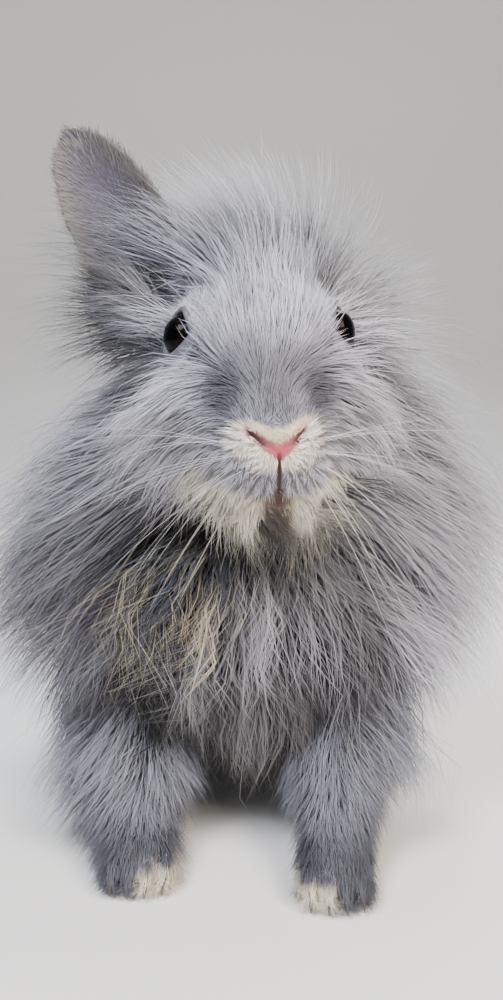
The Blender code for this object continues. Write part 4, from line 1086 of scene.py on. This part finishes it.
def keepOut(path, clearance=0.5):
    # points that would sink into the skin or the floor are lifted just off it
    flat = path[:, 1:].reshape(-1, 3).copy()
    for k, point in enumerate(flat.tolist()):
        near, way, _, _ = skinRays.find_nearest(point, 5.0)
        if near is None:
            continue
        depth = ((point[0] - near[0]) * way[0] + (point[1] - near[1]) * way[1]
                 + (point[2] - near[2]) * way[2])
        if depth < clearance:
            flat[k] += np.array(way) * (clearance - depth)
    path = path.copy()
    path[:, 1:] = flat.reshape(path[:, 1:].shape)
    for side in sideSign:
        away = path[:, 1:] - eyeMiddle[side]
        reach = np.linalg.norm(away, axis=2, keepdims=True)
        path[:, 1:] += away * (np.maximum(reach, coat["overEye"]) / np.maximum(reach, 1.0) - 1)
    path[..., 2] = np.maximum(path[..., 2], coat["floorGap"])
    # the longest hairs are drawn in to the width that the model may have
    across = path[..., 0] - frameShift[0]
    beyond = np.maximum(np.abs(across) - coat["freeReach"], 0)
    drawn = coat["softReach"] * (1 - np.exp(-beyond / coat["softReach"]))
    path[..., 0] -= np.sign(across) * (beyond - drawn)
    return path


def overEye(path):
    # which hairs would lie across an eye
    crossing = np.zeros(len(path), bool)
    for side in sideSign:
        _, look, level, tall = eyeWays(side, headTurn.T)
        away = path[:, 1:] - eyeMiddle[side]
        distance = np.linalg.norm(away, axis=2)
        wide = almondShare(away, level, tall, sideSign[side])
        forward = away @ level * -sideSign[side] / np.maximum(distance, 1)
        forward = forward * eyes["radius"] / eyes["opening"][0]
        # brow hair alone may hang over the outer half
        brow = ((path[:, 0] - eyeMiddle[side]) @ tall > 2)[:, None]
        edge = np.where(brow, np.interp(forward, (-0.35, 0.1), (0.0, 1.0)), 1.0)
        edge = edge * np.where(distance < 13, 1.0, 0.8)
        crossing |= ((distance < 19) & (wide < edge) & (away @ look > 2)).any(1)
    return crossing


def overNose(path):
    # which hairs would lie across the nose's V or the split lip
    local = toHead(path[:, 1:])
    side, height = np.abs(local[..., 0]), local[..., 2]
    on = (np.abs(height - noseLine(side)) < 1.35 - 0.12 * side) & (side < 7.8)
    split = (side < 0.4 + 0.5 * smoothStep(-42, -44, height)) & (height < -32) & (height > -45.5)
    return ((on | split) & (local[..., 1] < -38)).any(1)


# a mark, how far it takes over, and its colours at the root and at the tip, each with a factor
hairMarks = [
    # the dark mark carries the coat's darker patches and the painted shade of the clefts by the eyes
    ("dark", 0.9, "dark", 0.45, "root", 0.72), ("cream", 1.0, "creamRoot", 1.0, "cream", 1.0),
    ("above", 0.95, "creamRoot", 0.7, "yellow", 1.0),
    ("follicle", 0.8, "follicle", 0.45, "follicle", 0.85),
    ("chin", 0.95, "tan", 0.85, "chinTip", 1.0), ("lip", 0.95, "lip", 0.4, "lip", 0.8),
    ("toe", 1.0, "creamRoot", 1.0, "toe", 1.0),
]


def tintHairs(spot, face, steps, under, light, odd):
    # dark at the root and frosted at the tip, with the coat's own marks and the painted light and shade
    # of the place where the hair lies
    mark = markingsAndShade(spot, faceLabel[face])
    along = np.linspace(0, 1, steps + 1)[None, :, None] ** 0.75
    root, middle, end = coatColours["root"], coatColours["middle"], coatColours["tip"]
    paleness = 0.5 if under else 1.0
    tone = np.where(along < 0.5, root + (middle - root) * along * 2,
                    middle + (end - middle) * (along * 2 - 1) * paleness)
    # the place's tone carries painted light and shade along with the coat's own lighter and darker grey
    tone = np.broadcast_to(tone, (len(spot), steps + 1, 3)) * mark["tone"][:, None, None]
    hue = 1 + 0.05 * mark["cool"][:, None] * np.array([-1.0, -0.2, 1.0])
    hue = hue + 0.05 * mark["warm"][:, None] * np.array([1.0, 0.1, -1.2])
    tone = tone * hue[:, None]

    def mix(tone, weight, dark, pale):
        w = np.clip(weight, 0, 1)[:, None, None]
        return tone * (1 - w) + (dark + (pale - dark) * along) * w

    for name, share, dark, deep, pale, high in hairMarks:
        tone = mix(tone, mark[name] * share, coatColours[dark] * deep, coatColours[pale] * high)
    knot = mark["tangle"] * 1.8      # beige strands among dark ones
    tone = mix(tone, knot * (odd > 0.35), coatColours["dark"] * 0.5, coatColours["tan"])
    tone = mix(tone, knot * (odd <= 0.35), coatColours["dark"] * 0.2, coatColours["dark"] * 0.6)
    for side in sideSign:
        u, v = earPlace(spot, side)[:2]
        mine = (faceLabel[face] == tileNames.index("ear_" + side)) * smoothStep(0.32, 0.5, u)
        rim = np.clip(np.maximum(np.abs(v) ** 2, smoothStep(0.72, 0.98, u)), 0, 1)
        tone = mix(tone, mine * (1 - rim), coatColours["earIn"] * 0.55, coatColours["earIn"])
        tone = mix(tone, mine * rim, coatColours["earRim"] * 0.55, coatColours["earRim"])
    return np.clip(tone * (1 + light)[:, None, None], 0.0, 1.0)


def hairMesh(name, path, width, colours, face):
    # every hair a closed three-sided spike: rings of three points along its path, drawn to its tip
    count, rings = path.shape[0], path.shape[1] - 1
    along = unit(np.gradient(path, axis=1))[:, :rings]
    normal = coatNormal[face][:, None]
    aside = unit(np.cross(along, np.broadcast_to(normal, along.shape)) + 1e-6)
    out = np.cross(aside, along)
    taper = (1 - np.linspace(0, 1, rings + 1)[:rings]) ** 0.75
    wide = (width[:, None] * taper[None, :] * 0.5)[..., None]
    centre = path[:, :rings]
    corner = np.stack([centre - aside * wide, centre + aside * wide, centre + out * wide * 0.8], 2)
    points = np.concatenate([corner.reshape(count, -1, 3), path[:, -1:]], 1)
    # shaded mostly as the coat's own surface, so that the hairs melt into one soft fleece
    facing = np.stack([normal * 1.6 - aside, normal * 1.6 + aside, normal * 1.6 + out], 2)
    facing = unit(np.concatenate([facing.reshape(count, -1, 3), normal * 1.6 + along[:, -1:]], 1))
    each = rings * 3 + 1
    k, j = np.meshgrid(np.arange(rings - 1), np.arange(3), indexing="ij")
    a, b = (k * 3 + j).ravel(), (k * 3 + (j + 1) % 3).ravel()
    tip = np.array([[(rings - 1) * 3 + j, (rings - 1) * 3 + (j + 1) % 3, rings * 3] for j in range(3)])
    one = np.vstack([np.stack([b, a, b + 3], -1), np.stack([b + 3, a, a + 3], -1),
                     tip[:, ::-1], [[0, 1, 2]]])
    faces = (one[None] + (np.arange(count) * each)[:, None, None]).reshape(-1, 3)
    thing = makeMesh(name, points.reshape(-1, 3), faces, smooth=False)
    layer = thing.data.attributes.new("custom_normal", "FLOAT_VECTOR", "POINT")
    layer.data.foreach_set("vector", facing.reshape(-1).astype(np.float32))
    tint = np.concatenate([np.repeat(colours[:, :rings], 3, axis=1), colours[:, -1:]], 1)
    setColours(thing, "hairTint", tint.reshape(-1, 3))
    # each tuft is a small patch at its root's place on the unrolled skin
    tile = np.array([tiles[key] for key in tileNames])[faceLabel[face]]
    root = tile[:, :2] + facePlace[face] * (tile[:, 2:] - tuftPatch) * 0.96 + 0.004
    ring = np.concatenate([np.repeat(np.arange(rings), 3), [rings]]) / rings
    turn = np.concatenate([np.tile([0.0, 0.5, 1.0], rings), [0.5]])
    patch = np.stack([turn, ring], -1) * tuftPatch
    flat = (root[:, None] + patch[None]).reshape(-1, 2).astype(np.float32)
    layer = thing.data.uv_layers.new(name="OFBake")
    layer.data.foreach_set("uv", flat[faces.ravel()].ravel())
    thing.data.materials.append(hairMaterial)
    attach(thing, "root")
    return thing


tally = {"hairs": 0, "triangles": 0}


def growPatch(name, spot, face, steps, under=False):
    # one stretch of the coat, split into pieces that stay small enough to bake
    count = len(spot)
    if not count:
        return
    length = faceLength[face]
    stray = (dice.random(count) < coat["strayShare"]) & (length > 9) & (not under)
    mark = markingsAndShade(spot, faceLabel[face])
    bib, tangle = mark["bib"], mark["tangle"]
    share = dice.uniform(*coat["shares"]["under" if under else "over"], count)
    share = np.where(stray, dice.uniform(*coat["shares"]["stray"], count), share)
    share = share * (1 + 0.5 * bib * wander(spot, 7, 24))      # the chest's wool hangs in uneven locks
    loose = np.interp(length, *coat["loose"]) * np.where(stray, 2.2, 1)
    up = np.radians(dice.normal(0, 8, count)) * loose
    sideways = dice.normal(0, 0.15, count) * loose
    sideways = sideways + 0.3 * wander(spot, 17, 11) * smoothStep(4, 20, length)
    lean = np.stack([up, sideways + 0.45 * bib * wander(spot, 9, 25)], -1)
    wave = np.interp(length, *coat["waves"]) + coat["curlyBib"] * bib + 0.2 * tangle
    droop = (0.42 + 0.3 * bib) * (1 - 0.65 * smoothStep(150, 180, spot[:, 2]))
    path = hairPaths(spot, face, steps, share, lean, wave, droop)
    tight = np.interp(length, *coat["tight"]) + coat["bibTight"] * bib
    legs = np.array([key.startswith(("fore", "hind", "thigh")) for key in tileNames])[faceLabel[face]]
    tight = tight * dice.uniform(0.5, 1.15, count) * np.where(stray, 0.1, 1) * np.where(legs, 0.35, 1)
    gap = float(np.interp(np.median(length), *coat["clumps"]))
    path, clump = gather(path, spot, face, np.clip(tight, 0, 0.92), gap)
    path, lock = gather(path, spot, face, np.clip(tight * 0.7, 0, 0.6), gap * coat["locks"])
    path = keepOut(path)
    fair = np.random.default_rng(5).normal(0, 1, count)
    light = 0.10 * dice.normal(0, 1, count) + 0.06 * fair[clump] + 0.05 * fair[lock]
    light = light - 0.15 * under + 0.18 * stray + 0.07 * wander(spot, 30, 21)
    light = light + 0.3 * bib * wander(spot, 7, 24)
    width = np.interp(length, coat["lengths"], coat["widths"]) * dice.uniform(0.75, 1.25, count)
    width = width * (np.interp(length, *coat["underWidths"]) if under else 1.0)
    width = width * np.where(stray, 0.75, 1)
    width = np.where(isEar[face], coat["earWidth"], width)
    width = width * (1 + 0.5 * smoothStep(84, 130, spot[:, 1]))
    width = width * np.where(legs & (spot[:, 1] < 84), 0.82, 1) * (1 - 0.15 * bib)
    seen = 0.5 * spot + 0.5 * path[:, -1]
    colours = tintHairs(seen, face, steps, under, light, fair[clump])
    keep = np.flatnonzero(~overEye(path) & ~overNose(path))
    keep = keep[np.argsort(spot[keep, 0] + 0.3 * spot[keep, 2])]
    each = 6 * (steps - 1) + 4
    pieces = int(np.ceil(len(keep) * each / trianglesPerPiece))
    for k, part in enumerate(np.array_split(keep, pieces)):
        label = name if pieces == 1 else f"{name}{k + 1}"
        hairMesh(label, path[part], width[part], colours[part], face[part])
    tally["hairs"] += len(keep)
    tally["triangles"] += len(keep) * each
    print(name, len(keep), "hairs in", pieces, "pieces")


# the tuft of the crown and the wool round the ears' feet are the thickest
thicker = [((-4, 50, 184), (28, 26, 16), 0.8), ((-32, 66, 166), (14, 24, 18), 0.7),
           ((20, 46, 180), (18, 24, 14), 0.7)]


def growCoat():
    # longer hair is drawn with more rings, over a layer of wider under wool
    roots = np.interp(faceLength, coat["lengths"], coat["roots"])
    roots = roots * (1 - 0.55 * smoothStep(84, 130, faceMiddle[:, 1]))
    roots = roots * np.where(np.char.startswith(np.array(tileNames), "fore")[faceLabel], 1.35, 1)
    for at, radii, share in thicker:
        roots = roots * (1 + share * bump(faceMiddle, at, radii))
    bibFace = (markingsAndShade(faceMiddle, faceLabel)["bib"] > 0.5) & (faceLength > 20)
    roots = roots * np.where(bibFace, 1.15, 1)
    sizes = np.where(bibFace, 5, np.where(faceLength < 9, 2, np.where(faceLength < 36, 3, 4)))
    names = {2: ("shortHair", 2), 3: ("softHair", 3), 4: ("maneHair", 4), 5: ("chestWool", 4)}
    for size, (name, steps) in names.items():
        spot, face = scatterRoots(np.where((sizes == size) & ~isEar, roots, 0))
        growPatch(name, spot, face, steps)
    woolly = faceLength >= 30
    for name, here, steps in (("underFur", (sizes > 2) & ~woolly, 2), ("underWool", woolly, 3)):
        here = here & (~isEar | (faceLength > 12))
        spot, face = scatterRoots(np.where(here, roots * coat["underShare"], 0))
        growPatch(name, spot, face, steps, under=True)
    spot, face = scatterRoots(np.where(isEar, coat["earRoots"], 0))
    growPatch("earHair", spot, face, 2)


growCoat()
print("coat of", tally["hairs"], "hairs and", tally["triangles"], "triangles")

whiskers = {"rows": 4, "each": 4, "brows": 3, "length": (44, 72), "browLength": (26, 38),
            "width": 0.17, "browWidth": 0.13, "rings": 10, "sag": (0.12, 0.42),
            "tint": "#e2e1e0", "roughness": 0.35}


def growWhiskers():
    # rows of stiff hairs from the pads, each a long arc that sags under its own weight
    starts, ways, lengths, widths = [], [], [], []
    for sign in (-1, 1):
        for row in range(whiskers["rows"]):
            for k in range(whiskers["each"]):
                starts.append((sign * (9.0 + 2.1 * k), -44 + 2.6 * k, -29.0 - 3.4 * row - 0.4 * k))
                ways.append((sign * (1.0 - 0.12 * row), 0.10 + 0.14 * k + 0.05 * row,
                             0.26 - 0.36 * row))
                lengths.append(dice.uniform(*whiskers["length"]) * (1 - 0.06 * abs(row - 1.5)))
                widths.append(whiskers["width"])
        for k in range(whiskers["brows"]):
            starts.append((sign * (18 + 3 * k), -3 + 2 * k, 14 - 1.5 * k))
            ways.append((sign * (0.45 + 0.25 * k), 0.1, 0.9 - 0.2 * k))
            lengths.append(dice.uniform(*whiskers["browLength"]))
            widths.append(whiskers["browWidth"])
    starts, ways, lengths = np.array(starts, float), unit(np.array(ways, float)), np.array(lengths)
    ways = unit(ways + dice.normal(0, 0.10, ways.shape) * [1, 0.4, 1])
    steps = whiskers["rings"]
    starts, ways = fromHead(starts), ways @ headTurn.T
    for k in range(len(starts)):
        near, _, _, _ = skinRays.find_nearest(starts[k].tolist())
        starts[k] = np.array(near) - ways[k] * 0.8
    along = np.linspace(0, 1, steps + 1)[None, :, None]
    reach = lengths[:, None, None]
    path = starts[:, None] + ways[:, None] * reach * along
    sag = dice.uniform(*whiskers["sag"], (len(starts), 1, 1))
    path = path - np.array([0, 0, 1.0]) * reach * sag * along ** 2
    path = path + np.array([0, 0.12, 0]) * reach * along ** 2
    colours = np.tile(linear(whiskers["tint"]), (len(starts), steps + 1, 1))
    thing = hairMesh("whiskers", path, np.array(widths), colours, np.zeros(len(starts), int))
    # a whisker: one stiff clear shaft, smoother than the coat
    made, _, shader = newMaterial("white whisker")
    shader.inputs["Base Color"].default_value = (*linear(whiskers["tint"]), 1)
    shader.inputs["Roughness"].default_value = whiskers["roughness"]
    thing.data.materials.clear()
    thing.data.materials.append(made)


growWhiskers()
print("whiskers set")

# angles from the eye's look, in degrees, and colours; the eye is wet, so its gloss is sharp
eyeLooks = {"pupil": 34, "iris": 54, "pupilColour": "#030303", "irisColour": "#0d0807",
            "edgeColour": "#070606", "roughness": 0.13, "specular": 0.05,
            "inset": 0.35, "cornea": 0.35}


def buildEye(side):
    # a ball whose front swells into the cornea, tinted by the angle from its look
    look = eyeWays(side, headTurn.T)[1]
    flat, faces = closeGrid(*ballGrid((0, 0, 0), (1, 1, 1), rings=44, sides=64))
    flat = unit(flat)
    angle = np.degrees(np.arccos(np.clip(flat @ look, -1, 1)))
    swell = eyeLooks["cornea"] * smoothStep(52, 30, angle)
    placed = eyeMiddle[side] + flat * (eyes["radius"] - eyeLooks["inset"] + swell)[:, None]
    thing = makeMesh("eye" + side.capitalize(), placed, outward(placed, faces))
    dark, iris, edge = (linear(eyeLooks[key + "Colour"]) for key in ("pupil", "iris", "edge"))
    t = smoothStep(eyeLooks["pupil"] - 3, eyeLooks["pupil"] + 3, angle)[:, None]
    colour = dark * (1 - t) + iris * t
    t = smoothStep(eyeLooks["iris"] - 8, eyeLooks["iris"] + 2, angle)[:, None]
    setColours(thing, "eyeTint", colour * (1 - t) + edge * t)
    made = attributeMaterial("wet dark eye " + side, "eyeTint",
                             eyeLooks["roughness"], eyeLooks["specular"])[0]
    thing.data.materials.append(made)
    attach(thing, "root")
    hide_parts("eye_" + side)


for side in sideSign:
    buildEye(side)
print("eyes set")

# claw horn: dark and slightly polished by the floor
clawMaterial, _, clawShader = newMaterial("dark claw horn")
clawShader.inputs["Base Color"].default_value = (*linear("#453c36"), 1)
clawShader.inputs["Roughness"].default_value = 0.32


def buildClaw(name, x, y, z):
    # a tapered round horn along a falling arc, its drop growing with the square of its length
    t = np.linspace(0, 1, 14)
    centre = np.stack([np.full_like(t, x), y - t * claws["length"], z - claws["drop"] * t ** 2], -1)
    radius = claws["radius"] * (1 - 0.82 * t ** 1.4) - 0.05
    angle = np.linspace(0, 2 * np.pi, 14, endpoint=False)
    ring = np.stack([np.cos(angle), np.zeros_like(angle), np.sin(angle) * 1.12], -1)
    points = centre[:, None] + ring[None] * radius[:, None, None]
    poles = np.array([centre[0], centre[-1] + [0, -0.3, -0.1]])
    flat, faces = closeGrid(points, poles)
    thing = makeMesh(name, flat, faces)
    thing.data.materials.append(clawMaterial)
    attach(thing, "root")
    return thing


for side in sideSign:
    for kind, shape in (("fore", forelegShape), ("hind", hindlegShape)):
        for x, y, number in toePlaces(shape, side):
            y = y - shape["clawTip"] + claws["sink"]
            claw = buildClaw(f"{kind}Claw{side.capitalize()}{number}", x, y, claws["height"])
            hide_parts(f"claw_{kind}_{side}_{number}")
print("claws set")

floorSettings = {"half": 1600.0, "back": 800.0, "rise": 900.0, "bend": 500.0, "tint": "#d9d8d4"}


def buildFloor():
    # a pale sheet that runs back flat and then curves up behind the rabbit
    half, back, rise, bend = (floorSettings[key] for key in ("half", "back", "rise", "bend"))
    turn = np.linspace(0, np.pi / 2, 24)
    y = np.r_[-half, back + bend * np.sin(turn), back + bend]
    z = np.r_[0.0, bend * (1 - np.cos(turn)), bend + rise]
    x = np.array([-half, half])
    points = np.stack([np.tile(x, len(y)), np.repeat(y, 2), np.repeat(z, 2)], -1)
    k = np.arange(len(y) - 1) * 2
    faces = np.stack([k, k + 1, k + 3, k + 2], -1)
    thing = makeMesh("paleFloor", points, faces)
    # backdrop paper: quite matt, so that it takes soft shadows only
    made, _, shader = newMaterial("pale matt paper")
    shader.inputs["Base Color"].default_value = (*linear(floorSettings["tint"]), 1)
    shader.inputs["Roughness"].default_value = 0.9
    thing.data.materials.append(made)


buildFloor()

lamps = {
    "window": {"at": (-300, -400, 740), "size": 340, "power": 14.0, "tint": "#f2f5ff"},
    "fill": {"at": (440, -420, 600), "size": 380, "power": 13.0, "tint": "#fff4ea"},
    "rim": {"at": (120, 620, 700), "size": 420, "power": 10.0, "tint": "#f4f7ff"},
}


def buildLamp(name, at, size, power, tint):
    # a square soft box aimed at the rabbit's chest
    lamp = bpy.data.lights.new(name, "AREA")
    lamp.shape, lamp.size, lamp.energy = "SQUARE", size * mm, power
    lamp.color = linear(tint)
    holder = bpy.data.objects.new(name, lamp)
    bpy.context.scene.collection.objects.link(holder)
    holder.location = Vector(toFrame(np.array(at, float)))
    aim = Vector(toFrame(np.array([0.0, 40.0, 120.0])))
    holder.rotation_euler = (aim - holder.location).to_track_quat("-Z", "Y").to_euler()


for name, lamp in lamps.items():
    buildLamp(name, **lamp)

room = {"tint": "#dfe3ea", "strength": 0.24}
world = bpy.data.worlds.new("soft room")
bpy.context.scene.world = world
world.use_nodes = True
background = world.node_tree.nodes["Background"]
background.inputs["Color"].default_value = (*linear(room["tint"]), 1)
background.inputs["Strength"].default_value = room["strength"]

# the focal length is in sensor widths, the sensor lies along the picture's long side
view = {"at": (0.0, -320.0, 166.0), "pitch": 8.0, "focal": 1.14, "sensor": 36.0}
camera = bpy.data.cameras.new("camera")
camera.sensor_width, camera.lens = view["sensor"], view["focal"] * view["sensor"]
camera.clip_start, camera.clip_end = 0.01, 20.0
holder = bpy.data.objects.new("camera", camera)
bpy.context.scene.collection.objects.link(holder)
holder.location = Vector(toFrame(np.array(view["at"])))
holder.rotation_euler = (math.radians(90 - view["pitch"]), 0, 0)
bpy.context.scene.camera = holder
print("floor, lamps and camera set")
